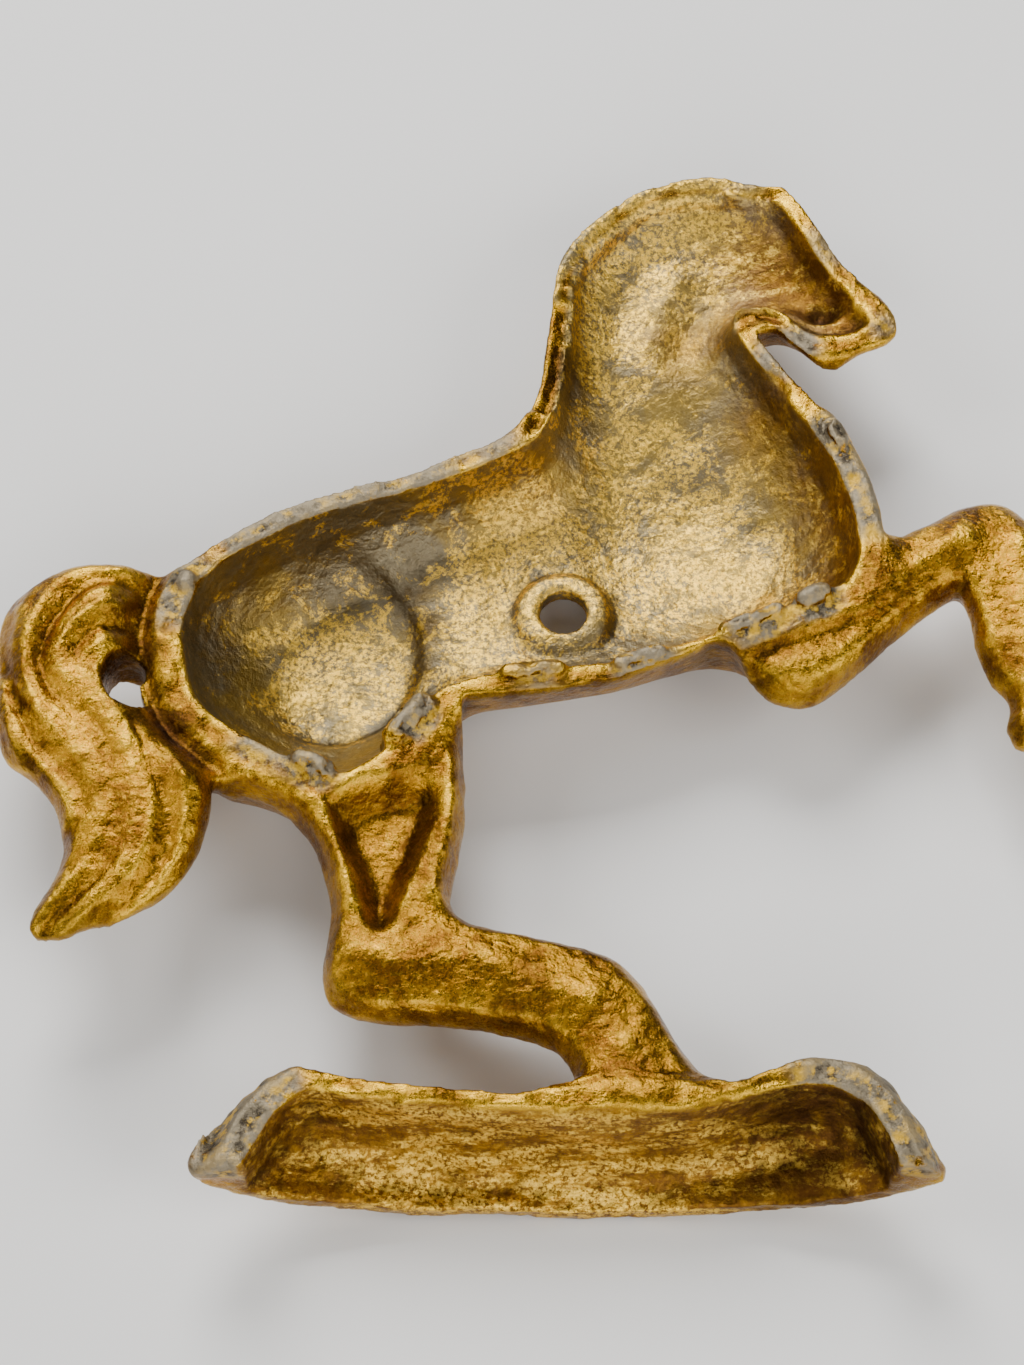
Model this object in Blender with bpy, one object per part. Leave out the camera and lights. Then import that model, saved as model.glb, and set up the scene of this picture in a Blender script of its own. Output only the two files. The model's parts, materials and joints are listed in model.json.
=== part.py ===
"""A cast iron still bank in the shape of a prancing horse, laid open on a table.

Three separate solids: the left half shell, its mate the right half shell, and
the screw that joins them. Both shells lie hollow side up. The plan of the
horse is drawn in millimetres: x runs from the spine the halves open about
towards the horse's nose, y runs up the standing horse from the bottom of its
base, and z is the height above the parting plane.
"""

import math

import bmesh
import bpy
import numpy as np
from mathutils.geometry import delaunay_2d_cdt

MM = 0.001
PLAN_HEIGHT = 184.0      # bottom of the base to the top of the mane
PARTING_HEIGHT = 22.0    # parting plane above the table
CLOSED_GAP = 0.3         # left between the parting faces when the bank is shut
WALL = 3.2               # thickness of the cast shell
RIM_WIDTH = 3.6          # width of the flat parting face round each hollow
EDGE = 1.6               # thickness of a shell's side right at its outline
THINNEST = 1.2           # nowhere is a half thinner than this
OUTLINE_SPACING = 4.0    # of the solid's points round the outlines and over the plan
GRID_SPACING = 5.4
FINE_SPACING = 1.5       # of the points distances are measured from
INSETS = (1.3, 1.5)      # rings of points inside the hollow's edge and the outline
LEAST_GAPS = (1.0, 1.2, 2.7)  # kept from other points by those rings and by the grid
FIELD_STEP = 1.0

# Outline of the horse, stretch by stretch. Each stretch is a smooth curve and
# starts where the one before it ends; the corners are where two of them meet.
BASE_BOTTOM = [(40.6, 0.0), (47.9, 0.0), (145.2, 0.0), (152.0, 0.0)]
BASE_TOP = [(40.3, 2.0), (42.5, 7.0), (46.0, 11.0), (50.3, 14.7), (55.5, 16.1), (62.3, 14.7),
            (71.3, 13.2), (80.2, 12.3), (88.0, 11.9), (97.0, 12.0), (108.0, 12.0), (118.0, 12.8),
            (126.6, 15.6), (131.2, 17.3), (136.0, 17.7), (141.6, 16.3), (145.2, 13.2),
            (148.2, 8.7), (150.8, 4.7), (152.4, 1.6)]
BASE_RIGHT_END = [(152.0, 0.0), (152.6, 1.8), (150.8, 4.7), (148.2, 8.7), (145.2, 13.2),
                  (141.6, 16.3), (136.0, 17.7), (131.2, 17.3), (126.6, 15.6), (120.8, 13.6)]
HIND_LEG_FRONT = [(120.8, 13.6), (118.0, 15.6), (115.0, 19.5), (112.0, 24.5), (107.6, 32.0),
                  (103.0, 36.5), (97.0, 38.6), (89.0, 40.3), (82.0, 41.8), (78.4, 44.8),
                  (78.6, 49.0), (80.0, 55.5), (80.5, 63.0), (80.0, 72.0), (80.2, 80.0)]
BELLY = [(80.2, 80.0), (84.5, 80.2), (95.6, 81.4), (102.0, 82.6), (108.4, 84.4), (114.8, 87.2),
         (120.0, 90.0)]
FORELEG_BACK = [(120.0, 90.0), (123.2, 89.4), (126.6, 85.4), (130.2, 82.4), (134.0, 81.6),
                (137.5, 82.4), (142.0, 85.8), (148.5, 92.0), (155.0, 97.8), (161.2, 102.4)]
FORELEG_SHIN = [(161.2, 102.4), (162.6, 98.0), (163.6, 92.0), (165.2, 86.0), (168.0, 81.6),
                (167.4, 77.6), (168.4, 74.0), (171.8, 72.4), (173.4, 67.0), (175.4, 62.0),
                (180.0, 60.2), (184.4, 61.4), (184.6, 66.0), (182.4, 71.6), (179.6, 77.0),
                (177.2, 83.0), (176.6, 90.0), (177.0, 98.0), (177.0, 106.0), (175.4, 113.0),
                (172.0, 117.8), (167.4, 119.6), (162.0, 118.4), (156.5, 115.2), (149.0, 110.6)]
CHEST = [(149.0, 110.6), (148.4, 116.7), (146.9, 122.6), (144.8, 128.6), (143.2, 133.2),
         (140.8, 135.0), (138.6, 136.6), (136.3, 139.9), (132.4, 145.4), (129.4, 150.6)]
JAW = [(129.4, 150.6), (132.4, 151.8), (135.4, 149.0), (138.8, 145.8), (142.2, 144.6),
       (147.0, 147.0), (151.8, 149.4), (153.4, 152.8), (151.4, 157.6), (146.0, 163.8),
       (141.0, 172.4), (137.9, 178.2), (135.4, 182.0)]
CREST = [(135.4, 182.0), (129.4, 182.7), (123.4, 184.0), (117.3, 183.5), (110.2, 181.0),
         (103.2, 175.6), (98.2, 169.6), (95.6, 163.7), (94.6, 156.3), (93.6, 147.9),
         (92.5, 140.7), (90.2, 134.4), (86.8, 130.0), (81.0, 127.0), (72.8, 122.8),
         (61.3, 119.3), (53.1, 116.7), (43.5, 111.3), (35.0, 104.9)]
TAIL = [(35.0, 104.9), (31.8, 103.6), (26.0, 104.2), (17.8, 104.1), (11.5, 101.6), (6.4, 96.3),
        (5.2, 91.0), (5.4, 84.0), (6.1, 75.5), (8.0, 69.0), (12.6, 65.0), (16.4, 59.6),
        (18.2, 53.0), (17.0, 47.2), (14.2, 41.6), (14.4, 38.2), (18.6, 37.4), (22.5, 39.4),
        (28.0, 41.0), (34.0, 44.2), (38.3, 49.8), (40.4, 56.5), (40.8, 64.2)]
RUMP = [(35.0, 104.9), (33.1, 99.5), (31.6, 93.6), (32.2, 87.0), (34.0, 79.5), (37.6, 71.8),
        (40.8, 64.2)]
HIND_LEG_BACK = [(40.8, 64.2), (46.0, 64.6), (52.0, 61.6), (56.2, 56.6), (58.9, 50.0),
                 (60.0, 43.6), (59.0, 37.0), (58.8, 32.4), (60.6, 28.4), (64.4, 26.4),
                 (71.0, 25.8), (78.7, 25.2), (86.2, 24.0), (92.6, 22.4), (96.0, 19.4),
                 (97.4, 15.6), (94.0, 13.0)]
BASE_LEFT_END = [(94.0, 13.0), (88.0, 11.9), (80.2, 12.3), (71.3, 13.2), (62.3, 14.7),
                 (55.5, 16.1), (50.3, 14.7), (46.0, 11.0), (42.5, 7.0), (40.2, 2.2),
                 (40.6, 0.0)]
HOOF_STUB = [(120.8, 13.6), (119.0, 4.0), (98.0, 4.0), (94.0, 13.0)]

# Edge of the hollow in the horse's body, and of the hollow under the ground.
BODY_HOLLOW = [
    [(37.6, 102.0), (35.6, 97.0), (34.9, 92.0), (35.8, 85.5), (37.6, 80.0), (41.2, 76.0),
     (47.2, 71.8), (54.6, 68.0), (61.0, 66.0), (66.0, 68.6), (69.6, 72.0), (72.6, 76.8),
     (76.0, 80.6), (82.0, 83.2), (92.5, 84.9), (105.3, 86.5), (118.0, 90.4), (128.0, 94.8),
     (136.0, 98.2), (142.6, 101.4)],
    [(142.6, 101.4), (144.5, 106.0), (144.6, 111.0), (143.8, 116.7), (142.4, 121.8),
     (140.2, 127.0), (138.2, 131.0), (135.8, 134.6), (132.0, 140.9), (128.0, 147.2),
     (125.4, 152.6)],
    [(125.4, 152.6), (126.6, 155.8), (130.6, 156.2), (134.0, 154.8), (136.2, 152.6),
     (138.8, 150.4), (143.4, 150.2), (147.0, 151.2), (149.0, 153.0)],
    [(149.0, 153.0), (146.0, 158.1), (142.5, 163.3), (138.4, 171.2), (134.2, 179.0)],
    [(134.2, 179.0), (128.0, 179.8), (120.7, 180.6), (112.0, 178.4), (104.8, 172.6),
     (99.8, 166.4), (98.2, 160.0), (97.4, 152.0), (96.6, 144.0), (95.2, 136.0),
     (91.4, 128.8), (84.0, 124.6), (72.8, 119.6), (61.4, 116.2), (53.0, 113.0),
     (44.0, 107.6), (37.6, 102.0)],
]
BASE_HOLLOW = [(47.9, 0.0), (50.6, 5.4), (54.0, 10.0), (57.9, 12.2), (63.5, 11.2), (71.3, 9.8),
               (83.0, 8.8), (95.0, 8.4), (108.0, 8.4), (116.0, 9.0), (124.0, 11.4),
               (131.0, 13.0), (136.0, 12.8), (140.2, 10.8), (143.2, 6.0), (145.2, 0.0)]

# How full the casting is at places over its plan: x, y, share of a round section.
FULLNESS = [
    (52, 90, 1.12), (58, 80, 1.10), (62, 98, 1.08), (66, 88, 1.08), (44, 86, 1.05),
    (79, 92, 0.78), (80, 106, 0.78), (78, 118, 0.82), (92, 104, 0.78), (96, 92, 0.80),
    (108, 106, 0.84), (112, 118, 0.96), (120, 106, 0.94), (122, 120, 0.98), (134, 112, 0.90),
    (112, 132, 0.80), (128, 134, 0.70), (98, 132, 0.66), (112, 146, 0.62), (104, 158, 0.56),
    (112, 172, 0.58), (124, 162, 0.64), (130, 172, 0.62), (138, 160, 0.76), (146, 152, 0.70),
    (68, 60, 0.95), (70, 46, 1.00), (90, 32, 1.00), (108, 20, 1.00), (134, 88, 1.00),
    (150, 98, 1.00), (168, 110, 1.00), (173, 80, 1.00), (22, 90, 0.45), (24, 60, 0.45),
]
FULLNESS_REACH = 8.0
DEEPEST = 22.0

# A solid limb bulges from its middle height by a share of its round section, up
# to a limit, on the inner side first and then on the outer side.
LIMB_CENTRE = -6.0
LIMB_INNER = (0.62, 5.0)
LIMB_OUTER = (0.78, 8.0)
TAIL_CENTRE = -1.2
TAIL_INNER = (0.42, 5.0)
TAIL_OUTER = (0.46, 6.5)
LIMB_BLEND = (2.0, 14.0)  # where the outside turns from shell to limb, off the hollow
RIM_FALL = 4.5            # width of the step from the parting face down to a limb
TAIL_RISE = (5.6, 7.5)    # where the tail starts to stand proud, and over what width
TAIL_VALLEY = (6.2, 2.2, 1.6)  # of the groove by the rump: place, half width, depth
TAIL_SIDE = 44.0          # solid parts left of this line and below the back are tail
TAIL_TOP = 110.0
TAIL_MERGE = 3.0
GROUND_TOP = 18.0         # the ground under the hooves lies below this line
HOOF_TOP = 13.0

SCREW_AT = (96.5, 103.3)
HOLE_RADIUS = 3.95       # of the hole in the left half
CLEAR_RADIUS = 3.6       # of the hole in the right half
BOSS_RADIUS = 6.3
BOSS_TOP = -13.4
BOSS_BACK = -16.4
SEAT_RADIUS = 7.2
SEAT_SLOPE = 1.5
BOSS_SLOPE = (0.4, 0.5)   # inside and outside the boss radius
TAIL_HOLE = [(23.6, 79.0), (22.8, 83.0), (24.6, 86.8), (28.0, 87.4), (29.4, 84.6), (28.4, 81.4),
             (29.8, 78.6), (28.4, 76.6), (25.4, 77.0)]
COIN_SLOT = (90.0, 98.6, 135.4, 157.0)
COIN_SLOT_DEPTH = 1.7
COIN_SLOT_SLOPE = 0.4
THIGH_POCKET = [(58.4, 61.6), (66.0, 65.2), (76.0, 65.0), (75.6, 57.0), (72.6, 48.6),
                (69.0, 40.0), (65.6, 40.6), (62.6, 50.0)]
THIGH_POCKET_DEPTH = 1.8
THIGH_POCKET_SLOPE = 5.6

# Locating lugs on the left half's rim: both ends, radius and height.
LUGS = [
    ((34.9, 100.6), (35.3, 101.4), 1.7, 1.8),
    ((55.0, 68.2), (58.4, 66.4), 2.0, 1.9),
    ((69.4, 72.4), (73.8, 78.2), 2.2, 2.2),
    ((87.4, 83.8), (95.2, 84.8), 1.7, 1.8),
    ((105.6, 85.9), (111.4, 87.6), 1.7, 1.5),
    ((122.4, 91.8), (130.6, 95.6), 1.6, 1.7),
    ((135.4, 97.6), (138.0, 98.9), 2.1, 2.0),
    ((141.2, 131.4), (142.4, 128.4), 1.7, 1.8),
]
LUG_SLOPE = 0.5
POCKET_CLEARANCE = 0.45

BASE_HALF_DEPTH = 22.0
BASE_MIDDLE = 96.3
BASE_HALF_LENGTH = 57.4
BASE_SCALLOPS = [(84.0, 1.6), (118.0, 0.9), (64.0, 0.8)]
BASE_SCALLOP_WIDTH = 6.0
BASE_END_ROUND = 0.45     # powers that shape the mound along and across
BASE_TOP_ROUND = 2.6

SCREW_RADIUS = 3.15
SCREW_HEAD_RADIUS = 5.6
SCREW_HEAD_HEIGHT = 2.7
SCREW_HEAD_SHAPE = [(0.62, 1.0), (0.88, 0.72), (1.0, 0.3), (1.0, 0.0)]  # of radius and height
SCREW_SIDES = 28
SCREW_SLOT = (1.3, 1.3)
SCREW_REACH = 15.8       # shank above the right half's parting plane
SCREW_POINT = 0.9
SEAT_GAP = 0.3


def smooth_step(value):
    """Ease a value from nought to one."""
    t = np.clip(value, 0.0, 1.0)
    return t * t * (3.0 - 2.0 * t)


def smooth_min(value, limit, power=6.0):
    """Lesser of a value and a limit, rounded where they meet."""
    value = np.maximum(value, 1e-6)
    return (value ** -power + limit ** -power) ** (-1.0 / power)


def bulge(puff, form):
    """Height a limb's round section is given: a share of it, up to a limit."""
    share, limit = form
    return smooth_min(share * puff, limit, power=4.0)


def curve(knots, spacing):
    """Points at about even spacing along a Catmull-Rom curve through the knots."""
    p = np.array(knots, float)
    p = np.vstack([2 * p[0] - p[1], p, 2 * p[-1] - p[-2]])
    t = np.linspace(0.0, 1.0, 13)[:-1, None]
    pieces = []
    for a, b, c, d in zip(p[:-3], p[1:-2], p[2:-1], p[3:]):
        pieces.append(0.5 * (2 * b + (c - a) * t + (2 * a - 5 * b + 4 * c - d) * t ** 2
                             + (3 * b - 3 * c + d - a) * t ** 3))
    fine = np.vstack(pieces + [p[-2:-1]])
    run = np.concatenate([[0.0], np.cumsum(np.hypot(*np.diff(fine, axis=0).T))])
    count = max(1, round(run[-1] / spacing))
    at = np.linspace(0.0, run[-1], count + 1)
    return np.column_stack([np.interp(at, run, fine[:, 0]), np.interp(at, run, fine[:, 1])])


def loop_of(stretches, spacing):
    """One closed loop from stretches that follow each other."""
    return np.vstack([curve(s, spacing)[:-1] for s in stretches])


def circle(centre, radius, count):
    """Closed loop of points round a centre."""
    turn = np.arange(count) * 2.0 * math.pi / count
    return np.column_stack([centre[0] + radius * np.cos(turn), centre[1] + radius * np.sin(turn)])


def capsule(start, end, radius, per_end=5):
    """Closed loop round a straight bar with round ends."""
    along = math.atan2(end[1] - start[1], end[0] - start[0])
    points = []
    for centre, first in ((end, along - math.pi / 2), (start, along + math.pi / 2)):
        for k in range(per_end):
            turn = first + math.pi * k / (per_end - 1)
            points.append((centre[0] + radius * math.cos(turn),
                           centre[1] + radius * math.sin(turn)))
    return np.array(points)


def bar_distance(x, y, start, end):
    """Distance from each point to the line between two ends."""
    ax, ay = start
    dx, dy = end[0] - ax, end[1] - ay
    t = np.clip(((x - ax) * dx + (y - ay) * dy) / (dx * dx + dy * dy), 0.0, 1.0)
    return np.hypot(x - ax - t * dx, y - ay - t * dy)


def line_distance(x, y, loop):
    """Distance from each point to the nearest side of a closed loop."""
    best = np.full(np.shape(x), np.inf)
    for start, end in zip(loop, np.roll(loop, -1, axis=0)):
        best = np.minimum(best, bar_distance(x, y, start, end))
    return best


def inside(x, y, loop):
    """True for each point within a closed loop."""
    within = np.zeros(np.shape(x), bool)
    for (ax, ay), (bx, by) in zip(loop, np.roll(loop, -1, axis=0)):
        if ay == by:
            continue
        crosses = (ay > y) != (by > y)
        within ^= crosses & (x < ax + (y - ay) * (bx - ax) / (by - ay))
    return within


def offset_inwards(loop, distance):
    """Points a distance inside a loop, leaving out those that crowd another side."""
    before, after = np.roll(loop, 1, axis=0), np.roll(loop, -1, axis=0)
    along = after - before
    along /= np.hypot(*along.T)[:, None]
    moved = loop + distance * np.column_stack([-along[:, 1], along[:, 0]])
    if not inside(moved[:, 0], moved[:, 1], loop).mean() > 0.5:
        moved = loop - distance * np.column_stack([-along[:, 1], along[:, 0]])
    clear = line_distance(moved[:, 0], moved[:, 1], loop) > 0.8 * distance
    return moved[clear & inside(moved[:, 0], moved[:, 1], loop)]


class Puff:
    """Height of a sheet blown up between the sides of a loop."""

    WIDTH = 190
    HEIGHT = 192
    SWEEPS = 260
    RELAX = 1.93

    def __init__(self, loop):
        self.loop = loop
        xs = np.arange(self.WIDTH) * FIELD_STEP
        ys = np.arange(self.HEIGHT) * FIELD_STEP
        grid_x, grid_y = np.meshgrid(xs, ys, indexing="ij")
        free = inside(grid_x + 1e-4, grid_y + 1e-4, loop)
        free[[0, -1], :] = False
        free[:, [0, -1]] = False
        colour = (np.add.outer(np.arange(self.WIDTH), np.arange(self.HEIGHT)) % 2).astype(bool)
        u = np.zeros(free.shape)
        for _ in range(self.SWEEPS):
            for part in (free & colour, free & ~colour):
                around = np.zeros_like(u)
                around[1:-1, 1:-1] = (u[:-2, 1:-1] + u[2:, 1:-1] + u[1:-1, :-2]
                                      + u[1:-1, 2:])
                wanted = (around + FIELD_STEP ** 2) / 4.0
                u[part] += self.RELAX * (wanted[part] - u[part])
        self.u = u

    def height(self, x, y):
        """Height of the sheet, a half round over a straight strip."""
        gx = np.clip(x / FIELD_STEP, 0, self.WIDTH - 1.001)
        gy = np.clip(y / FIELD_STEP, 0, self.HEIGHT - 1.001)
        i, j = gx.astype(int), gy.astype(int)
        a, b = gx - i, gy - j
        u = (self.u[i, j] * (1 - a) * (1 - b) + self.u[i + 1, j] * a * (1 - b)
             + self.u[i, j + 1] * (1 - a) * b + self.u[i + 1, j + 1] * a * b)
        near = np.clip(line_distance(x, y, self.loop) / FINE_SPACING, 0.0, 1.0)
        return np.sqrt(2.0 * np.maximum(u * near, 0.0)) * inside(x, y, self.loop)


def fullness(x, y):
    """Share of a round section the casting is given at each point."""
    total = np.zeros(np.shape(x))
    weight = np.full(np.shape(x), 1e-12)
    for at_x, at_y, share in FULLNESS:
        w = np.exp(-((x - at_x) ** 2 + (y - at_y) ** 2) / (2 * FULLNESS_REACH ** 2))
        total += w * share
        weight += w
    return total / weight


def base_depth(x, y, top_line, half_depth):
    """Depth of the mound the horse stands on, below the parting plane."""
    end = np.clip(1.0 - ((x - BASE_MIDDLE) / BASE_HALF_LENGTH) ** 2, 0.0, 1.0)
    depth = half_depth * end ** BASE_END_ROUND
    for at_x, cut in BASE_SCALLOPS:
        depth = depth - cut * np.exp(-((x - at_x) / BASE_SCALLOP_WIDTH) ** 2) * end
    top = np.interp(x, top_line[:, 0], top_line[:, 1])
    share = np.clip(y / np.maximum(top, 0.2), 0.0, 1.0)
    return depth * (1.0 - share ** BASE_TOP_ROUND) ** BASE_END_ROUND


class HalfCasting:
    """One half of the horse as two height fields over the same plan."""

    def __init__(self, has_tail):
        self.has_tail = has_tail
        rump = TAIL if has_tail else RUMP
        around = [BASE_RIGHT_END, HIND_LEG_FRONT, BELLY, FORELEG_BACK, FORELEG_SHIN, CHEST,
                  JAW, CREST, rump, HIND_LEG_BACK, BASE_LEFT_END]
        bottom = np.vstack([curve(BASE_BOTTOM[k:k + 2], OUTLINE_SPACING)[:-1]
                            for k in range(len(BASE_BOTTOM) - 1)])
        self.outline = np.vstack([bottom, loop_of(around, OUTLINE_SPACING)])
        horse = [HIND_LEG_FRONT, BELLY, FORELEG_BACK, FORELEG_SHIN, CHEST, JAW, CREST, rump,
                 HIND_LEG_BACK]
        self.horse = np.vstack([loop_of(horse, FINE_SPACING),
                                curve(HOOF_STUB[::-1], FINE_SPACING)[:-1]])
        self.body_hollow = loop_of(BODY_HOLLOW, OUTLINE_SPACING)
        self.base_hollow = curve(BASE_HOLLOW, OUTLINE_SPACING)
        self.fine_hollow = loop_of(BODY_HOLLOW, FINE_SPACING)
        self.fine_base_hollow = curve(BASE_HOLLOW, FINE_SPACING)
        self.thigh = loop_of([THIGH_POCKET + THIGH_POCKET[:1]], FINE_SPACING)
        self.outer_puff = Puff(self.horse)
        self.inner_puff = Puff(self.body_hollow)
        self.holes = [circle(SCREW_AT, HOLE_RADIUS if has_tail else CLEAR_RADIUS, 24)]
        if has_tail:
            self.holes.append(loop_of([TAIL_HOLE + TAIL_HOLE[:1]], 2.0))

    def hollow_distance(self, x, y):
        """Distance outside the nearer hollow, nought within it."""
        body = np.where(inside(x, y, self.fine_hollow), 0.0,
                        line_distance(x, y, self.fine_hollow))
        base = np.where(inside(x, y, self.fine_base_hollow), 0.0,
                        line_distance(x, y, self.fine_base_hollow))
        return np.minimum(body, base)

    def tail_share(self, x, y):
        """One over the tail, nought elsewhere."""
        if not self.has_tail:
            return np.zeros(np.shape(x))
        return smooth_step((TAIL_SIDE - x) / TAIL_MERGE) * (y < TAIL_TOP)

    def screw_distance(self, x, y):
        return np.hypot(x - SCREW_AT[0], y - SCREW_AT[1])

    def outer_depth(self, x, y):
        """Depth of the outside of the shell."""
        puff = self.outer_puff.height(x, y)
        body = smooth_min(fullness(x, y) * puff, DEEPEST)
        start, width = LIMB_BLEND
        limb_share = smooth_step((self.hollow_distance(x, y) - start) / width) * (y > HOOF_TOP)
        tail = self.tail_share(x, y)
        limb = (1 - tail) * (bulge(puff, LIMB_OUTER) - LIMB_CENTRE)
        limb = limb + tail * (bulge(puff, TAIL_OUTER) - TAIL_CENTRE)
        body = body * (1 - limb_share) + limb * limb_share
        mound = base_depth(x, y, np.array(BASE_TOP), BASE_HALF_DEPTH)
        depth = np.hypot(np.maximum(body, mound * (y < GROUND_TOP)), EDGE)
        return self.with_screw_seat(x, y, depth)

    def with_screw_seat(self, x, y, depth):
        """Flatten the outside round the screw hole."""
        seat = smooth_step((SEAT_RADIUS + SEAT_SLOPE - self.screw_distance(x, y)) / SEAT_SLOPE)
        return depth * (1 - seat) - BOSS_BACK * seat

    def hollow_depth(self, x, y, outer):
        """Depth of the inside of the shell within its two hollows."""
        body = fullness(x, y) * self.inner_puff.height(x, y)
        inner, outer_side = BOSS_SLOPE
        boss = smooth_step((BOSS_RADIUS + outer_side - self.screw_distance(x, y))
                           / (inner + outer_side))
        body = body * (1 - boss) - BOSS_TOP * boss
        body = body * inside(x, y, self.body_hollow)
        mound = base_depth(x, y, np.array(BASE_HOLLOW), BASE_HALF_DEPTH - WALL)
        mound = mound * inside(x, np.maximum(y, 0.01), self.fine_base_hollow)
        return np.minimum(np.maximum(body, mound), np.maximum(outer - WALL, 0.0))

    def solid_top(self, x, y):
        """Height of the inner face of legs, tail and parting face outside the hollows."""
        away = self.hollow_distance(x, y)
        puff = self.outer_puff.height(x, y)
        within = inside(x, y, self.thigh)
        dip = smooth_step(line_distance(x, y, self.thigh) / THIGH_POCKET_SLOPE) * within
        leg = LIMB_CENTRE + bulge(puff, LIMB_INNER) * (1 - dip) - THIGH_POCKET_DEPTH * dip
        start, width = TAIL_RISE
        tail = TAIL_CENTRE + bulge(puff, TAIL_INNER) * smooth_step((away - start) / width)
        middle, half_width, depth = TAIL_VALLEY
        tail = tail - depth * np.exp(-((away - middle) / half_width) ** 2)
        share = self.tail_share(x, y)
        limb = leg * (1 - share) + tail * share
        return limb * smooth_step((away - RIM_WIDTH) / RIM_FALL)

    def top(self, x, y):
        """Height of the inner side."""
        outer = self.outer_depth(x, y)
        hollow = self.hollow_depth(x, y, outer)
        z = np.where(hollow > 0.0, -hollow, self.solid_top(x, y))
        left, right, low, high = COIN_SLOT
        slot = (x > left) & (x < right) & (y > low) & (y < high) & (hollow < COIN_SLOT_DEPTH)
        z = np.where(slot, np.minimum(z, -COIN_SLOT_DEPTH), z)
        for start, end, radius, height in LUGS:
            away = bar_distance(x, y, start, end)
            if self.has_tail:
                lug = height * smooth_step((radius - away) / LUG_SLOPE)
                z = np.where(away < radius, np.maximum(z, lug), z)
            else:
                reach = radius + POCKET_CLEARANCE + LUG_SLOPE
                pocket = -(height + POCKET_CLEARANCE) * np.clip((reach - away) / LUG_SLOPE, 0, 1)
                z = np.where(away < reach, np.minimum(z, pocket), z)
        return z

    def bottom(self, x, y):
        """Height of the outer side."""
        return -np.maximum(self.outer_depth(x, y), EDGE - self.top_near_edge(x, y))

    def top_near_edge(self, x, y):
        """Inner face height where it is solid, so a leg's edge keeps its thickness."""
        return self.solid_top(x, y) * (self.hollow_distance(x, y) > 0.0)


def plan_mesh(casting):
    """Triangles over the plan of a half, with its edges and features as sides."""
    loops = [casting.outline, casting.body_hollow] + casting.holes
    rings = [circle(SCREW_AT, BOSS_RADIUS - BOSS_SLOPE[0], 18),
             circle(SCREW_AT, BOSS_RADIUS + BOSS_SLOPE[1], 18)]
    for start, end, radius, _ in LUGS:
        outer = radius if casting.has_tail else radius + POCKET_CLEARANCE + LUG_SLOPE
        rings.append(capsule(start, end, outer))
        rings.append(capsule(start, end, outer - LUG_SLOPE))
    for inset in (0.0, COIN_SLOT_SLOPE):
        left, right, low, high = COIN_SLOT
        right, low, high = right - inset, low + inset, high - inset
        rings.append(np.array([(left, low), (right, low), (right, high), (left, high)]))
    points, edges = [], []
    for loop in loops + rings:
        first = len(points)
        points.extend(map(tuple, loop))
        edges += [(first + k, first + (k + 1) % len(loop)) for k in range(len(loop))]
    first = len(points)
    points.extend(map(tuple, casting.base_hollow))
    edges += [(first + k, first + k + 1) for k in range(len(casting.base_hollow) - 1)]
    fixed = np.array(points)
    free = [offset_inwards(casting.body_hollow, INSETS[0]),
            offset_inwards(casting.outline, INSETS[1])]
    xs = np.arange(4.0, 188.0, GRID_SPACING)
    rows = np.arange(2.6, 186.0, GRID_SPACING * 0.87)
    grid = np.array([(x + (k % 2) * GRID_SPACING / 2, y) for k, y in enumerate(rows) for x in xs])
    free.append(grid)
    for extra, least in zip(free, LEAST_GAPS):
        near = np.min(np.hypot(extra[:, None, 0] - fixed[None, :, 0],
                               extra[:, None, 1] - fixed[None, :, 1]), axis=1)
        keep = (near > least) & inside(extra[:, 0], extra[:, 1], casting.outline)
        fixed = np.vstack([fixed, extra[keep]])
    verts, _, faces, *_ = delaunay_2d_cdt([tuple(p) for p in fixed], edges, [], 0, 1e-5, False)
    xy = np.array([(v[0], v[1]) for v in verts])
    tris = np.array([f for f in faces if len(f) == 3])
    middle = xy[tris].mean(axis=1)
    keep = inside(middle[:, 0], middle[:, 1], casting.outline)
    for hole in casting.holes:
        keep &= ~inside(middle[:, 0], middle[:, 1], hole)
    return xy, tris[keep]


def make_material(name, colour, roughness, metallic):
    material = bpy.data.materials.new(name)
    material.use_nodes = True
    shader = material.node_tree.nodes["Principled BSDF"]
    shader.inputs["Base Color"].default_value = (*colour, 1.0)
    shader.inputs["Roughness"].default_value = roughness
    shader.inputs["Metallic"].default_value = metallic
    material.diffuse_color = (*colour, 1.0)
    return material


def add_object(name, bm, origin, material):
    """Put a bmesh given in world metres into an object whose origin is set."""
    bmesh.ops.recalc_face_normals(bm, faces=bm.faces)
    bmesh.ops.translate(bm, verts=bm.verts, vec=[-c for c in origin])
    mesh = bpy.data.meshes.new(name)
    bm.to_mesh(mesh)
    bm.free()
    mesh.materials.append(material)
    obj = bpy.data.objects.new(name, mesh)
    obj.location = origin
    bpy.context.scene.collection.objects.link(obj)
    return obj


def plan_to_world(x, y, z, side):
    """World metres of a plan point; side is +1 for the left half, -1 for the right."""
    return (side * x * MM, (y - PLAN_HEIGHT / 2) * MM, (PARTING_HEIGHT + z) * MM)


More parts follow.
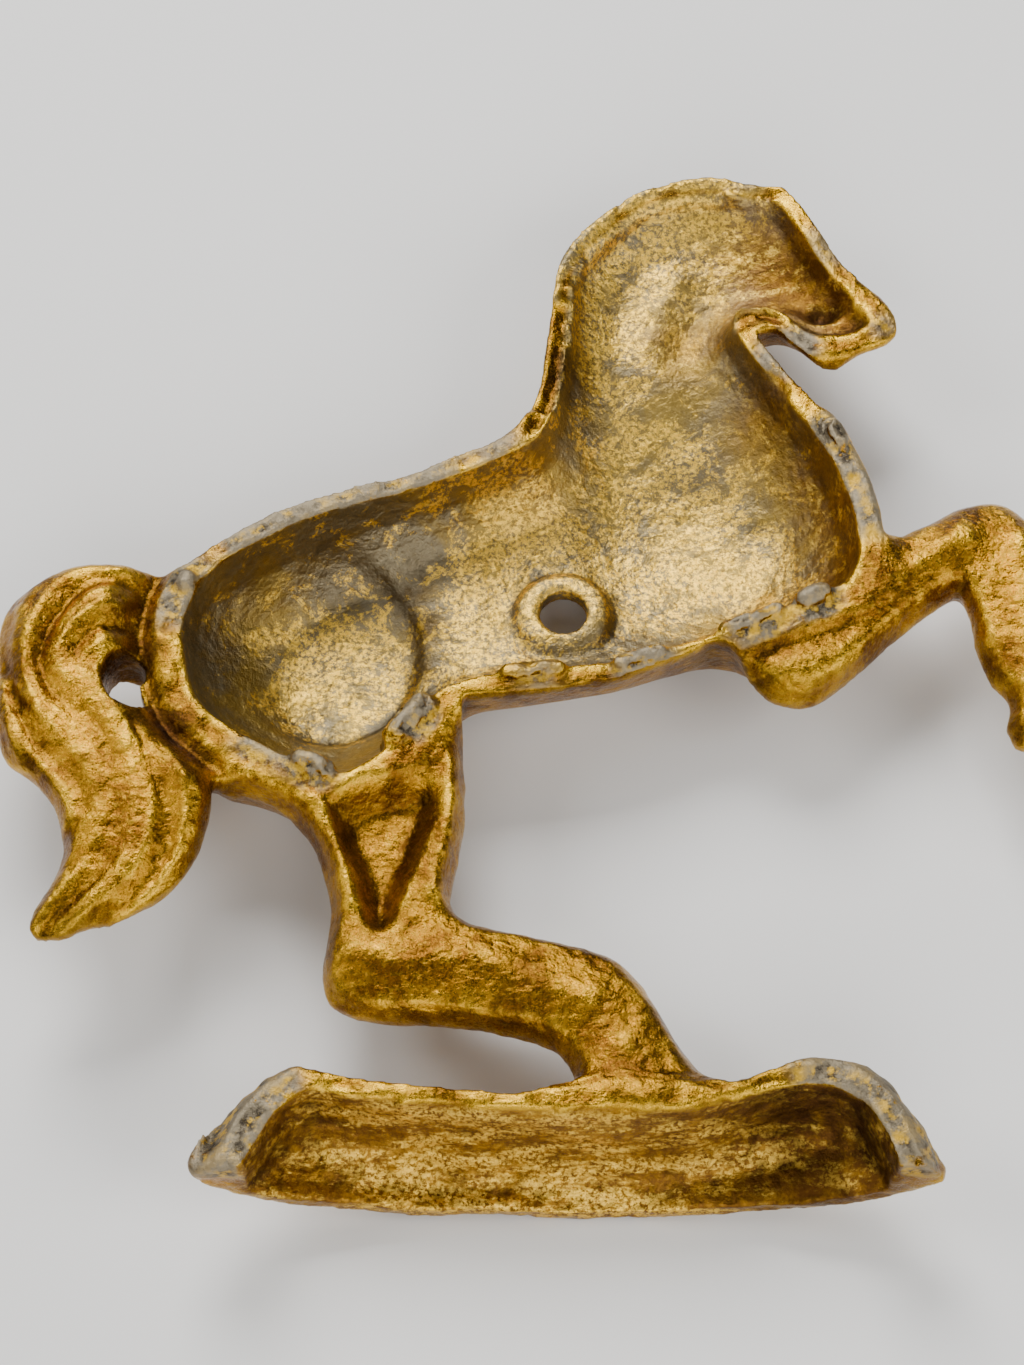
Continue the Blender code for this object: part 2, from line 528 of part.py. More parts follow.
def build_half(name, has_tail, origin, material):
    """Close one half: inner skin, outer skin and the strip between them."""
    casting = HalfCasting(has_tail)
    side = 1 if has_tail else -1
    xy, tris = plan_mesh(casting)
    x, y = xy[:, 0], xy[:, 1]
    top, bottom = casting.top(x, y), casting.bottom(x, y)
    bottom = np.minimum(bottom, top - THINNEST)
    bm = bmesh.new()
    used = sorted(set(tris.ravel()))
    upper = {k: bm.verts.new(plan_to_world(x[k], y[k], top[k], side)) for k in used}
    lower = {k: bm.verts.new(plan_to_world(x[k], y[k], bottom[k], side)) for k in used}
    sides = {}
    for a, b, c in tris:
        bm.faces.new((upper[a], upper[b], upper[c]))
        bm.faces.new((lower[c], lower[b], lower[a]))
        for start, end in ((a, b), (b, c), (c, a)):
            if (end, start) in sides:
                del sides[(end, start)]
            else:
                sides[(start, end)] = True
    for start, end in sides:
        bm.faces.new((upper[end], upper[start], lower[start]))
        bm.faces.new((upper[end], lower[start], lower[end]))
    return add_object(name, bm, origin, material)


def build_screw(origin, material):
    """Slotted round-head screw standing in the right half's hole."""
    seat = BOSS_BACK - SEAT_GAP
    profile = [(0.0, seat - SCREW_HEAD_HEIGHT)]
    for out, down in SCREW_HEAD_SHAPE:
        profile.append((SCREW_HEAD_RADIUS * out, seat - SCREW_HEAD_HEIGHT * down))
    profile += [(SCREW_RADIUS, seat),
                (SCREW_RADIUS, SCREW_REACH - SCREW_POINT),
                (SCREW_RADIUS - SCREW_POINT, SCREW_REACH),
                (0.0, SCREW_REACH)]
    bm = bmesh.new()
    rings = []
    for radius, z in profile:
        if radius == 0.0:
            rings.append([bm.verts.new(plan_to_world(*SCREW_AT, z, -1))])
            continue
        ring = []
        for px, py in circle(SCREW_AT, radius, SCREW_SIDES):
            ring.append(bm.verts.new(plan_to_world(px, py, z, -1)))
        rings.append(ring)
    for low, high in zip(rings, rings[1:]):
        for k in range(SCREW_SIDES):
            after = (k + 1) % SCREW_SIDES
            corners = [low[k % len(low)], low[after % len(low)],
                       high[after % len(high)], high[k % len(high)]]
            bm.faces.new(list(dict.fromkeys(corners)))
    screw = add_object("screw", bm, origin, material)
    cut_screw_slot(screw, seat)
    return screw


def cut_screw_slot(screw, seat):
    """Take the driver slot out of the head."""
    width, depth = SCREW_SLOT
    bm = bmesh.new()
    bmesh.ops.create_cube(bm, size=1.0)
    low = seat - SCREW_HEAD_HEIGHT
    centre = plan_to_world(*SCREW_AT, low, -1)
    size = (3 * SCREW_HEAD_RADIUS * MM, width * MM, 2 * depth * MM)
    for vert in bm.verts:
        vert.co = [c + v * s for c, v, s in zip(centre, vert.co, size)]
    cutter = add_object("slot cutter", bm, centre, screw.data.materials[0])
    cut = screw.modifiers.new("slot", "BOOLEAN")
    cut.operation = "DIFFERENCE"
    cut.solver = "EXACT"
    cut.object = cutter
    bpy.context.view_layer.objects.active = screw
    bpy.ops.object.modifier_apply(modifier=cut.name)
    bpy.data.objects.remove(cutter, do_unlink=True)


def main():
    for obj in list(bpy.data.objects):
        bpy.data.objects.remove(obj, do_unlink=True)
    spine = (0.0, 0.0, (PARTING_HEIGHT + CLOSED_GAP / 2) * MM)
    screw_axis = plan_to_world(*SCREW_AT, 0.0, -1)
    build_half("left_half", True, (0.0, 0.0, 0.0),
               make_material("left_half_bronze_paint", (0.42, 0.27, 0.10), 0.42, 0.75))
    build_half("right_half", False, spine,
               make_material("right_half_bronze_paint", (0.40, 0.26, 0.10), 0.44, 0.75))
    build_screw(screw_axis, make_material("screw_steel", (0.34, 0.33, 0.31), 0.38, 1.0))


main()
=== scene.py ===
"""Looks of a cast iron prancing horse bank: two half shells and a screw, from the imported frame."""

import json
import math

import bmesh
import bpy
import numpy as np
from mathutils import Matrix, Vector
from mathutils.geometry import delaunay_2d_cdt


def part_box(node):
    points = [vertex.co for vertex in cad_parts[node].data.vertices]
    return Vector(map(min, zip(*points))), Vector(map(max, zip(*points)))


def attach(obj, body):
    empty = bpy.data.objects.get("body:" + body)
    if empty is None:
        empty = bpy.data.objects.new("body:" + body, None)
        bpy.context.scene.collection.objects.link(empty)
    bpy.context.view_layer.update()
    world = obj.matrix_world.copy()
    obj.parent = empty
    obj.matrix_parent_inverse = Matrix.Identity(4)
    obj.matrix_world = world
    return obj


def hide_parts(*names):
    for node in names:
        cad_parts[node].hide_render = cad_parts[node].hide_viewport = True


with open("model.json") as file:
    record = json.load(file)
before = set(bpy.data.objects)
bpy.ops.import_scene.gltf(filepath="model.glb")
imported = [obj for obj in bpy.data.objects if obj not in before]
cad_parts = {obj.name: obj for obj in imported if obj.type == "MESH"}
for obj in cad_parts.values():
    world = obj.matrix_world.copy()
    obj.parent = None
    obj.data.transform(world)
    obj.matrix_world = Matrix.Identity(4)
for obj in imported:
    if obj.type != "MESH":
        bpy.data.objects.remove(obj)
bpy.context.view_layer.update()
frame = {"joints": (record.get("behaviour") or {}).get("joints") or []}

MM = 0.001
LEFT_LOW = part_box("left_half")[0]
BASE_LINE = LEFT_LOW.y / MM  # world y of the bottom of the base, mm
SPINE = next(j for j in frame["joints"] if j["name"] == "opening_turn")["pos_m"]
CLOSED_GAP = 0.3
PARTING_HEIGHT = SPINE[2] / MM - CLOSED_GAP / 2
WALL = 3.2
RIM_WIDTH = 3.6
EDGE = 1.6
THINNEST = 1.2
FIELD_STEP = 1.0
PLAN_SPACING = 1.0  # of the plan's points, mm
FINE_SPACING = 1.5  # of the points distances are measured from, mm
VOXEL = 0.5  # of the remeshed skin, mm

# Outline of the horse, stretch by stretch. Each stretch is a smooth curve and
# starts where the one before it ends; the corners are where two of them meet.
BASE_BOTTOM = [(40.6, 0), (47.9, 0), (145.2, 0), (152, 0)]
BASE_TOP = [(40.3, 2), (42.5, 7), (46, 11), (50.3, 14.7), (55.5, 16.1), (62.3, 14.7), (71.3, 13.2),
    (80.2, 12.3), (88, 11.9), (97, 12), (108, 12), (118, 12.8), (126.6, 15.6), (131.2, 17.3),
    (136, 17.7), (141.6, 16.3), (145.2, 13.2), (148.2, 8.7), (150.8, 4.7), (152.4, 1.6)]
BASE_RIGHT_END = [(152, 0), (152.6, 1.8)] + BASE_TOP[18:11:-1] + [(120.8, 13.6)]
HIND_LEG_FRONT = [(120.8, 13.6), (118, 15.6), (115, 19.5), (112, 24.5), (107.6, 32), (103, 36.5),
    (97, 38.6), (89, 40.3), (82, 41.8), (78.4, 44.8), (78.6, 49), (80, 55.5), (80.5, 63), (80, 72),
    (80.2, 80)]
BELLY = [(80.2, 80), (84.5, 80.2), (95.6, 81.4), (102, 82.6), (108.4, 84.4), (114.8, 87.2),
    (120, 90)]
FORELEG_BACK = [(120, 90), (123.2, 89.4), (126.6, 85.4), (130.2, 82.4), (134, 81.6), (137.5, 82.4),
    (142, 85.8), (148.5, 92), (155, 97.8), (161.2, 102.4)]
FORELEG_SHIN = [(161.2, 102.4), (162.6, 98), (163.6, 92), (165.2, 86), (168, 81.6), (167.4, 77.6),
    (168.4, 74), (171.8, 72.4), (173.4, 67), (175.4, 62), (180, 60.2), (184.4, 61.4), (184.6, 66),
    (182.4, 71.6), (179.6, 77), (177.2, 83), (176.6, 90), (177, 98), (177, 106), (175.4, 113),
    (172, 117.8), (167.4, 119.6), (162, 118.4), (156.5, 115.2), (149, 110.6)]
CHEST = [(149, 110.6), (148.4, 116.7), (146.9, 122.6), (144.8, 128.6), (143.2, 133.2),
    (140.8, 135), (138.6, 136.6), (136.3, 139.9), (132.4, 145.4), (129.4, 150.6)]
JAW = [(129.4, 150.6), (132.4, 151.8), (135.4, 149), (138.8, 145.8), (142.2, 144.6), (147, 147),
    (151.8, 149.4), (153.4, 152.8), (151.4, 157.6), (146, 163.8), (141, 172.4), (137.9, 178.2),
    (135.4, 182)]
CREST = [(135.4, 182), (129.4, 182.7), (123.4, 184), (117.3, 183.5), (110.2, 181), (103.2, 175.6),
    (98.2, 169.6), (95.6, 163.7), (94.6, 156.3), (93.6, 147.9), (92.5, 140.7), (90.2, 134.4),
    (86.8, 130), (81, 127), (72.8, 122.8), (61.3, 119.3), (53.1, 116.7), (43.5, 111.3),
    (35, 104.9)]
TAIL = [(35, 104.9), (31.8, 103.6), (26, 104.2), (17.8, 104.1), (11.5, 101.6), (6.4, 96.3),
    (5.2, 91), (5.4, 84), (6.1, 75.5), (8, 69), (12.6, 65), (16.4, 59.6), (18.2, 53), (17, 47.2),
    (14.2, 41.6), (14.4, 38.2), (18.6, 37.4), (22.5, 39.4), (28, 41), (34, 44.2), (38.3, 49.8),
    (40.4, 56.5), (40.8, 64.2)]
RUMP = [(35, 104.9), (33.1, 99.5), (31.6, 93.6), (32.2, 87), (34, 79.5), (37.6, 71.8),
    (40.8, 64.2)]
HIND_LEG_BACK = [(40.8, 64.2), (46, 64.6), (52, 61.6), (56.2, 56.6), (58.9, 50), (60, 43.6),
    (59, 37), (58.8, 32.4), (60.6, 28.4), (64.4, 26.4), (71, 25.8), (78.7, 25.2), (86.2, 24),
    (92.6, 22.4), (96, 19.4), (97.4, 15.6), (94, 13)]
BASE_LEFT_END = [(94, 13)] + BASE_TOP[8:0:-1] + [(40.2, 2.2), (40.6, 0)]
HOOF_STUB = [(120.8, 13.6), (119, 4), (98, 4), (94, 13)]

# Edge of the hollow in the horse's body, and of the hollow under the ground.
BODY_HOLLOW = [
    [(37.6, 102), (35.6, 97), (34.9, 92), (35.8, 85.5), (37.6, 80), (41.2, 76), (47.2, 71.8),
     (54.6, 68), (61, 66), (66, 68.6), (69.6, 72), (72.6, 76.8), (76, 80.6), (82, 83.2),
     (92.5, 84.9), (105.3, 86.5), (118, 90.4), (128, 94.8), (136, 98.2), (142.6, 101.4)],
    [(142.6, 101.4), (144.5, 106), (144.6, 111), (143.8, 116.7), (142.4, 121.8), (140.2, 127),
     (138.2, 131), (135.8, 134.6), (132, 140.9), (128, 147.2), (125.4, 152.6)],
    [(125.4, 152.6), (126.6, 155.8), (130.6, 156.2), (134, 154.8), (136.2, 152.6), (138.8, 150.4),
     (143.4, 150.2), (147, 151.2), (149, 153)],
    [(149, 153), (146, 158.1), (142.5, 163.3), (138.4, 171.2), (134.2, 179)],
    [(134.2, 179), (128, 179.8), (120.7, 180.6), (112, 178.4), (104.8, 172.6), (99.8, 166.4),
     (98.2, 160), (97.4, 152), (96.6, 144), (95.2, 136), (91.4, 128.8), (84, 124.6), (72.8, 119.6),
     (61.4, 116.2), (53, 113), (44, 107.6), (37.6, 102)],
]
BASE_HOLLOW = [(47.9, 0), (50.6, 5.4), (54, 10), (57.9, 12.2), (63.5, 11.2), (71.3, 9.8),
    (83, 8.8), (95, 8.4), (108, 8.4), (116, 9), (124, 11.4), (131, 13), (136, 12.8), (140.2, 10.8),
    (143.2, 6), (145.2, 0)]

# How full the casting is at places over its plan: x, y, share of a round section.
FULLNESS = [(52, 90, 1.12), (58, 80, 1.10), (62, 98, 1.08), (66, 88, 1.08), (44, 86, 1.05),
    (79, 92, 0.78), (80, 106, 0.78), (78, 118, 0.82), (92, 104, 0.78), (96, 92, 0.80),
    (108, 106, 0.84), (112, 118, 0.96), (120, 106, 0.94), (122, 120, 0.98), (134, 112, 0.90),
    (112, 132, 0.80), (128, 134, 0.70), (98, 132, 0.66), (112, 146, 0.62), (104, 158, 0.56),
    (112, 172, 0.58), (124, 162, 0.64), (130, 172, 0.62), (138, 160, 0.76), (146, 152, 0.70),
    (68, 60, 0.95), (70, 46, 1), (90, 32, 1), (108, 20, 1), (134, 88, 1), (150, 98, 1),
    (168, 110, 1), (173, 80, 1), (22, 90, 0.45), (24, 60, 0.45)]
FULLNESS_REACH = 8.0
DEEPEST = 22.0

# A solid limb bulges from its middle height by a share of its round section, up
# to a limit, on the inner side first and then on the outer side.
LIMB_CENTRE = -6.0
LIMB_INNER = (0.62, 5.0)
LIMB_OUTER = (0.78, 8.0)
TAIL_CENTRE = -1.2
TAIL_INNER = (0.42, 5.0)
TAIL_OUTER = (0.46, 6.5)
LIMB_BLEND = (2.0, 14.0)  # where the outside turns from shell to limb, off the hollow
RIM_FALL = 4.5  # width of the step from the parting face down to a limb
TAIL_RISE = (5.6, 7.5)  # where the tail starts to stand proud, and over what width
TAIL_VALLEY = (6.2, 2.2, 1.6)  # of the groove by the rump: place, half width, depth
TAIL_SIDE = 44.0  # solid parts left of this line and below the back are tail
TAIL_TOP = 110.0
TAIL_MERGE = 3.0
GROUND_TOP = 18.0  # the ground under the hooves lies below this line
HOOF_TOP = 13.0

SCREW_AT = (96.5, 103.3)
HOLE_RADIUS = 3.95  # of the hole in the left half
CLEAR_RADIUS = 3.6  # of the hole in the right half
BOSS_RADIUS = 6.3
BOSS_TOP = -13.4
BOSS_BACK = -16.4
SEAT_RADIUS = 7.2
SEAT_SLOPE = 1.5
BOSS_SLOPE = (0.4, 0.5)  # inside and outside the boss radius
TAIL_HOLE = [(23.6, 79), (22.8, 83), (24.6, 86.8), (28, 87.4), (29.4, 84.6), (28.4, 81.4),
    (29.8, 78.6), (28.4, 76.6), (25.4, 77)]
COIN_SLOT = (90.0, 98.6, 135.4, 157.0)
COIN_SLOT_DEPTH = 1.7
THIGH_POCKET = [(58.4, 61.6), (66, 65.2), (76, 65), (75.6, 57), (72.6, 48.6), (69, 40),
    (65.6, 40.6), (62.6, 50)]
THIGH_POCKET_DEPTH = 1.8
THIGH_POCKET_SLOPE = 5.6

# Locating lugs on the left half's rim: both ends, radius and height.
LUGS = [((34.9, 100.6), (35.3, 101.4), 1.7, 1.8), ((55, 68.2), (58.4, 66.4), 2, 1.9),
    ((69.4, 72.4), (73.8, 78.2), 2.2, 2.2), ((87.4, 83.8), (95.2, 84.8), 1.7, 1.8),
    ((105.6, 85.9), (111.4, 87.6), 1.7, 1.5), ((122.4, 91.8), (130.6, 95.6), 1.6, 1.7),
    ((135.4, 97.6), (138, 98.9), 2.1, 2), ((141.2, 131.4), (142.4, 128.4), 1.7, 1.8)]
LUG_SLOPE = 0.5
POCKET_CLEARANCE = 0.45

BASE_HALF_DEPTH = 22.0
BASE_MIDDLE = 96.3
BASE_HALF_LENGTH = 57.4
BASE_SCALLOPS = [(84, 1.6), (118, 0.9), (64, 0.8)]
BASE_SCALLOP_WIDTH = 6.0
BASE_END_ROUND = 0.45  # powers that shape the mound along and across
BASE_TOP_ROUND = 2.6
OUTLINE_SPACING = 1.0
HOLLOW_ROWS = (0.3, 0.8, 1.5, 2.4)  # rows of plan points inside each edge
EDGE_ROWS = (0.3, 0.9, 1.8)


def ease(value):
    """Ease a value from nought to one."""
    t = np.clip(value, 0.0, 1.0)
    return t * t * (3.0 - 2.0 * t)


def smooth_min(value, limit, power=6.0):
    """Lesser of a value and a limit, rounded where they meet."""
    value = np.maximum(value, 1e-6)
    return (value ** -power + limit ** -power) ** (-1.0 / power)


def bulge(puff, form):
    """Height a limb's round section is given: a share of it, up to a limit."""
    share, limit = form
    return smooth_min(share * puff, limit, power=4.0)


def curve(knots, spacing):
    """Points at about even spacing along a Catmull-Rom curve through the knots."""
    p = np.array(knots, float)
    p = np.vstack([2 * p[0] - p[1], p, 2 * p[-1] - p[-2]])
    t = np.linspace(0.0, 1.0, 13)[:-1, None]
    pieces = []
    for a, b, c, d in zip(p[:-3], p[1:-2], p[2:-1], p[3:]):
        pieces.append(0.5 * (2 * b + (c - a) * t + (2 * a - 5 * b + 4 * c - d) * t ** 2
                             + (3 * b - 3 * c + d - a) * t ** 3))
    fine = np.vstack(pieces + [p[-2:-1]])
    run = np.concatenate([[0.0], np.cumsum(np.hypot(*np.diff(fine, axis=0).T))])
    count = max(1, round(run[-1] / spacing))
    at = np.linspace(0.0, run[-1], count + 1)
    return np.column_stack([np.interp(at, run, values) for values in fine.T])


def loop_of(stretches, spacing):
    """One closed loop from stretches that follow each other."""
    return np.vstack([curve(s, spacing)[:-1] for s in stretches])


def circle(centre, radius, count):
    """Closed loop of points round a centre."""
    turn = np.arange(count) * 2.0 * math.pi / count
    return np.column_stack([centre[0] + radius * np.cos(turn), centre[1] + radius * np.sin(turn)])


def capsule(start, end, radius, per_end=5):
    """Closed loop round a straight bar with round ends."""
    along = math.atan2(end[1] - start[1], end[0] - start[0])
    points = []
    for centre, first in ((end, along - math.pi / 2), (start, along + math.pi / 2)):
        for k in range(per_end):
            turn = first + math.pi * k / (per_end - 1)
            points.append((centre[0] + radius * math.cos(turn),
                           centre[1] + radius * math.sin(turn)))
    return np.array(points)


def bar_distance(x, y, start, end):
    """Distance from each point to the line between two ends."""
    ax, ay = start
    dx, dy = end[0] - ax, end[1] - ay
    t = np.clip(((x - ax) * dx + (y - ay) * dy) / (dx * dx + dy * dy), 0.0, 1.0)
    return np.hypot(x - ax - t * dx, y - ay - t * dy)


def line_distance(x, y, loop):
    """Distance from each point to the nearest side of a closed loop."""
    best = np.full(np.shape(x), np.inf)
    for start, end in zip(loop, np.roll(loop, -1, axis=0)):
        best = np.minimum(best, bar_distance(x, y, start, end))
    return best


def inside(x, y, loop):
    """True for each point within a closed loop."""
    within = np.zeros(np.shape(x), bool)
    for (ax, ay), (bx, by) in zip(loop, np.roll(loop, -1, axis=0)):
        if ay == by:
            continue
        crosses = (ay > y) != (by > y)
        within ^= crosses & (x < ax + (y - ay) * (bx - ax) / (by - ay))
    return within


def offset_inwards(loop, distance):
    """Points a distance inside a loop, leaving out those that crowd another side."""
    before, after = np.roll(loop, 1, axis=0), np.roll(loop, -1, axis=0)
    along = after - before
    along /= np.hypot(*along.T)[:, None]
    sideways = distance * np.column_stack([-along[:, 1], along[:, 0]])
    moved = loop + sideways
    if inside(*moved.T, loop).mean() <= 0.5:
        moved = loop - sideways
    clear = line_distance(*moved.T, loop) > 0.8 * distance
    return moved[clear & inside(*moved.T, loop)]


class Puff:
    """Height of a sheet blown up between the sides of a loop."""

    WIDTH = 190
    HEIGHT = 192
    SWEEPS = 260
    RELAX = 1.93

    def __init__(self, loop):
        self.loop = loop
        xs = np.arange(self.WIDTH) * FIELD_STEP
        ys = np.arange(self.HEIGHT) * FIELD_STEP
        grid_x, grid_y = np.meshgrid(xs, ys, indexing="ij")
        free = inside(grid_x + 1e-4, grid_y + 1e-4, loop)
        free[[0, -1], :] = False
        free[:, [0, -1]] = False
        colour = (np.add.outer(np.arange(self.WIDTH), np.arange(self.HEIGHT)) % 2).astype(bool)
        u = np.zeros(free.shape)
        for _ in range(self.SWEEPS):
            for part in (free & colour, free & ~colour):
                around = np.zeros_like(u)
                around[1:-1, 1:-1] = u[:-2, 1:-1] + u[2:, 1:-1] + u[1:-1, :-2] + u[1:-1, 2:]
                wanted = (around + FIELD_STEP ** 2) / 4.0
                u[part] += self.RELAX * (wanted[part] - u[part])
        self.u = u

    def height(self, x, y):
        """Height of the sheet, a half round over a straight strip."""
        gx = np.clip(x / FIELD_STEP, 0, self.WIDTH - 1.001)
        gy = np.clip(y / FIELD_STEP, 0, self.HEIGHT - 1.001)
        i, j = gx.astype(int), gy.astype(int)
        a, b = gx - i, gy - j
        u = (self.u[i, j] * (1 - a) * (1 - b) + self.u[i + 1, j] * a * (1 - b)
             + self.u[i, j + 1] * (1 - a) * b + self.u[i + 1, j + 1] * a * b)
        near = np.clip(line_distance(x, y, self.loop) / FINE_SPACING, 0.0, 1.0)
        return np.sqrt(2.0 * np.maximum(u * near, 0.0)) * inside(x, y, self.loop)


def fullness(x, y):
    """Share of a round section the casting is given at each point."""
    total = np.zeros(np.shape(x))
    weight = np.full(np.shape(x), 1e-12)
    for at_x, at_y, share in FULLNESS:
        w = np.exp(-((x - at_x) ** 2 + (y - at_y) ** 2) / (2 * FULLNESS_REACH ** 2))
        total += w * share
        weight += w
    return total / weight


def base_depth(x, y, top_line, half_depth):
    """Depth of the mound the horse stands on, below the parting plane."""
    end = np.clip(1.0 - ((x - BASE_MIDDLE) / BASE_HALF_LENGTH) ** 2, 0.0, 1.0)
    depth = half_depth * end ** BASE_END_ROUND
    for at_x, cut in BASE_SCALLOPS:
        depth = depth - cut * np.exp(-((x - at_x) / BASE_SCALLOP_WIDTH) ** 2) * end
    top = np.interp(x, top_line[:, 0], top_line[:, 1])
    share = np.clip(y / np.maximum(top, 0.2), 0.0, 1.0)
    return depth * (1.0 - share ** BASE_TOP_ROUND) ** BASE_END_ROUND


class HalfCasting:
    """One half of the horse as two height fields over the same plan."""

    def __init__(self, has_tail):
        self.has_tail = has_tail
        horse = [HIND_LEG_FRONT, BELLY, FORELEG_BACK, FORELEG_SHIN, CHEST, JAW, CREST,
                 TAIL if has_tail else RUMP, HIND_LEG_BACK]
        around = [BASE_RIGHT_END] + horse + [BASE_LEFT_END]
        bottom = np.vstack([curve(BASE_BOTTOM[k:k + 2], OUTLINE_SPACING)[:-1]
                            for k in range(len(BASE_BOTTOM) - 1)])
        self.outline = np.vstack([bottom, loop_of(around, OUTLINE_SPACING)])
        self.horse = np.vstack([loop_of(horse, FINE_SPACING),
                                curve(HOOF_STUB[::-1], FINE_SPACING)[:-1]])
        self.body_hollow = loop_of(BODY_HOLLOW, OUTLINE_SPACING)
        self.base_hollow = curve(BASE_HOLLOW, OUTLINE_SPACING)
        self.fine_hollow = loop_of(BODY_HOLLOW, FINE_SPACING)
        self.fine_base_hollow = curve(BASE_HOLLOW, FINE_SPACING)
        self.thigh = loop_of([THIGH_POCKET + THIGH_POCKET[:1]], FINE_SPACING)
        self.outer_puff = Puff(self.horse)
        self.inner_puff = Puff(self.body_hollow)
        self.holes = [circle(SCREW_AT, HOLE_RADIUS if has_tail else CLEAR_RADIUS, 24)]
        if has_tail:
            self.holes.append(loop_of([TAIL_HOLE + TAIL_HOLE[:1]], 2.0))

    def hollow_distance(self, x, y):
        """Distance outside the nearer hollow, nought within it."""
        return np.minimum(*(np.where(inside(x, y, loop), 0.0, line_distance(x, y, loop))
                            for loop in (self.fine_hollow, self.fine_base_hollow)))

    def tail_share(self, x, y):
        """One over the tail, nought elsewhere."""
        if not self.has_tail:
            return np.zeros(np.shape(x))
        return ease((TAIL_SIDE - x) / TAIL_MERGE) * (y < TAIL_TOP)

    def screw_distance(self, x, y):
        return np.hypot(x - SCREW_AT[0], y - SCREW_AT[1])

    def outer_depth(self, x, y):
        """Depth of the outside of the shell."""
        puff = self.outer_puff.height(x, y)
        body = smooth_min(fullness(x, y) * puff, DEEPEST)
        start, width = LIMB_BLEND
        limb_share = ease((self.hollow_distance(x, y) - start) / width) * (y > HOOF_TOP)
        tail = self.tail_share(x, y)
        limb = (1 - tail) * (bulge(puff, LIMB_OUTER) - LIMB_CENTRE)
        limb = limb + tail * (bulge(puff, TAIL_OUTER) - TAIL_CENTRE)
        body = body * (1 - limb_share) + limb * limb_share
        mound = base_depth(x, y, np.array(BASE_TOP), BASE_HALF_DEPTH)
        depth = np.hypot(np.maximum(body, mound * (y < GROUND_TOP)), EDGE)
        return self.with_screw_seat(x, y, depth)

    def with_screw_seat(self, x, y, depth):
        """Flatten the outside round the screw hole."""
        seat = ease((SEAT_RADIUS + SEAT_SLOPE - self.screw_distance(x, y)) / SEAT_SLOPE)
        return depth * (1 - seat) - BOSS_BACK * seat

    def hollow_depth(self, x, y, outer):
        """Depth of the inside of the shell within its two hollows."""
        body = fullness(x, y) * self.inner_puff.height(x, y)
        inner, outer_side = BOSS_SLOPE
        boss = ease((BOSS_RADIUS + outer_side - self.screw_distance(x, y))
                           / (inner + outer_side))
        body = body * (1 - boss) - BOSS_TOP * boss
        body = body * inside(x, y, self.body_hollow)
        mound = base_depth(x, y, np.array(BASE_HOLLOW), BASE_HALF_DEPTH - WALL)
        mound = mound * inside(x, np.maximum(y, 0.01), self.fine_base_hollow)
        return np.minimum(np.maximum(body, mound), np.maximum(outer - WALL, 0.0))

    def solid_top(self, x, y):
        """Height of the inner face of legs, tail and parting face outside the hollows."""
        away = self.hollow_distance(x, y)
        puff = self.outer_puff.height(x, y)
        within = inside(x, y, self.thigh)
        dip = ease(line_distance(x, y, self.thigh) / THIGH_POCKET_SLOPE) * within
        leg = LIMB_CENTRE + bulge(puff, LIMB_INNER) * (1 - dip) - THIGH_POCKET_DEPTH * dip
        start, width = TAIL_RISE
        tail = TAIL_CENTRE + bulge(puff, TAIL_INNER) * ease((away - start) / width)
        middle, half_width, depth = TAIL_VALLEY
        tail = tail - depth * np.exp(-((away - middle) / half_width) ** 2)
        share = self.tail_share(x, y)
        limb = leg * (1 - share) + tail * share
        return limb * ease((away - RIM_WIDTH) / RIM_FALL)

    def top(self, x, y):
        """Height of the inner side."""
        outer = self.outer_depth(x, y)
        hollow = self.hollow_depth(x, y, outer)
        z = np.where(hollow > 0.0, -hollow, self.solid_top(x, y))
        left, right, low, high = COIN_SLOT
        slot = (x > left) & (x < right) & (y > low) & (y < high) & (hollow < COIN_SLOT_DEPTH)
        z = np.where(slot, np.minimum(z, -COIN_SLOT_DEPTH), z)
        for start, end, radius, height in LUGS:
            away = bar_distance(x, y, start, end)
            if self.has_tail:
                lug = height * ease((radius - away) / LUG_SLOPE)
                z = np.where(away < radius, np.maximum(z, lug), z)
            else:
                reach = radius + POCKET_CLEARANCE + LUG_SLOPE
                pocket = -(height + POCKET_CLEARANCE) * np.clip((reach - away) / LUG_SLOPE, 0, 1)
                z = np.where(away < reach, np.minimum(z, pocket), z)
        return z

    def bottom(self, x, y):
        """Height of the outer side."""
        return -np.maximum(self.outer_depth(x, y), EDGE - self.top_near_edge(x, y))

    def top_near_edge(self, x, y):
        """Inner face height where it is solid, so a leg's edge keeps its thickness."""
        return self.solid_top(x, y) * (self.hollow_distance(x, y) > 0.0)


class Speckle:
    """Seeded smooth noise through space, the same each run."""

    SIZE = 32

    def __init__(self, seed):
        self.table = np.random.default_rng(seed).uniform(-1.0, 1.0, (self.SIZE,) * 3)

    def at(self, points, scale):
        """Noise of about one unit height whose bumps are a scale apart."""
        p = points / scale
        cell = np.floor(p).astype(int)
        t = p - cell
        t = t * t * (3.0 - 2.0 * t)
        total = np.zeros(len(points))
        for step in np.ndindex(2, 2, 2):
            corner = (cell + step) % self.SIZE
            w = np.abs(1 - np.array(step) - t)
            total += w[:, 0] * w[:, 1] * w[:, 2] * self.table[tuple(corner.T)]
        return total

    def layered(self, points, scale, layers):
        """Several sizes of noise on top of each other."""
        total = np.zeros(len(points))
        for k in range(layers):
            total += self.at(points + 17.3 * k, scale / 2 ** k) / 1.8 ** k
        return total


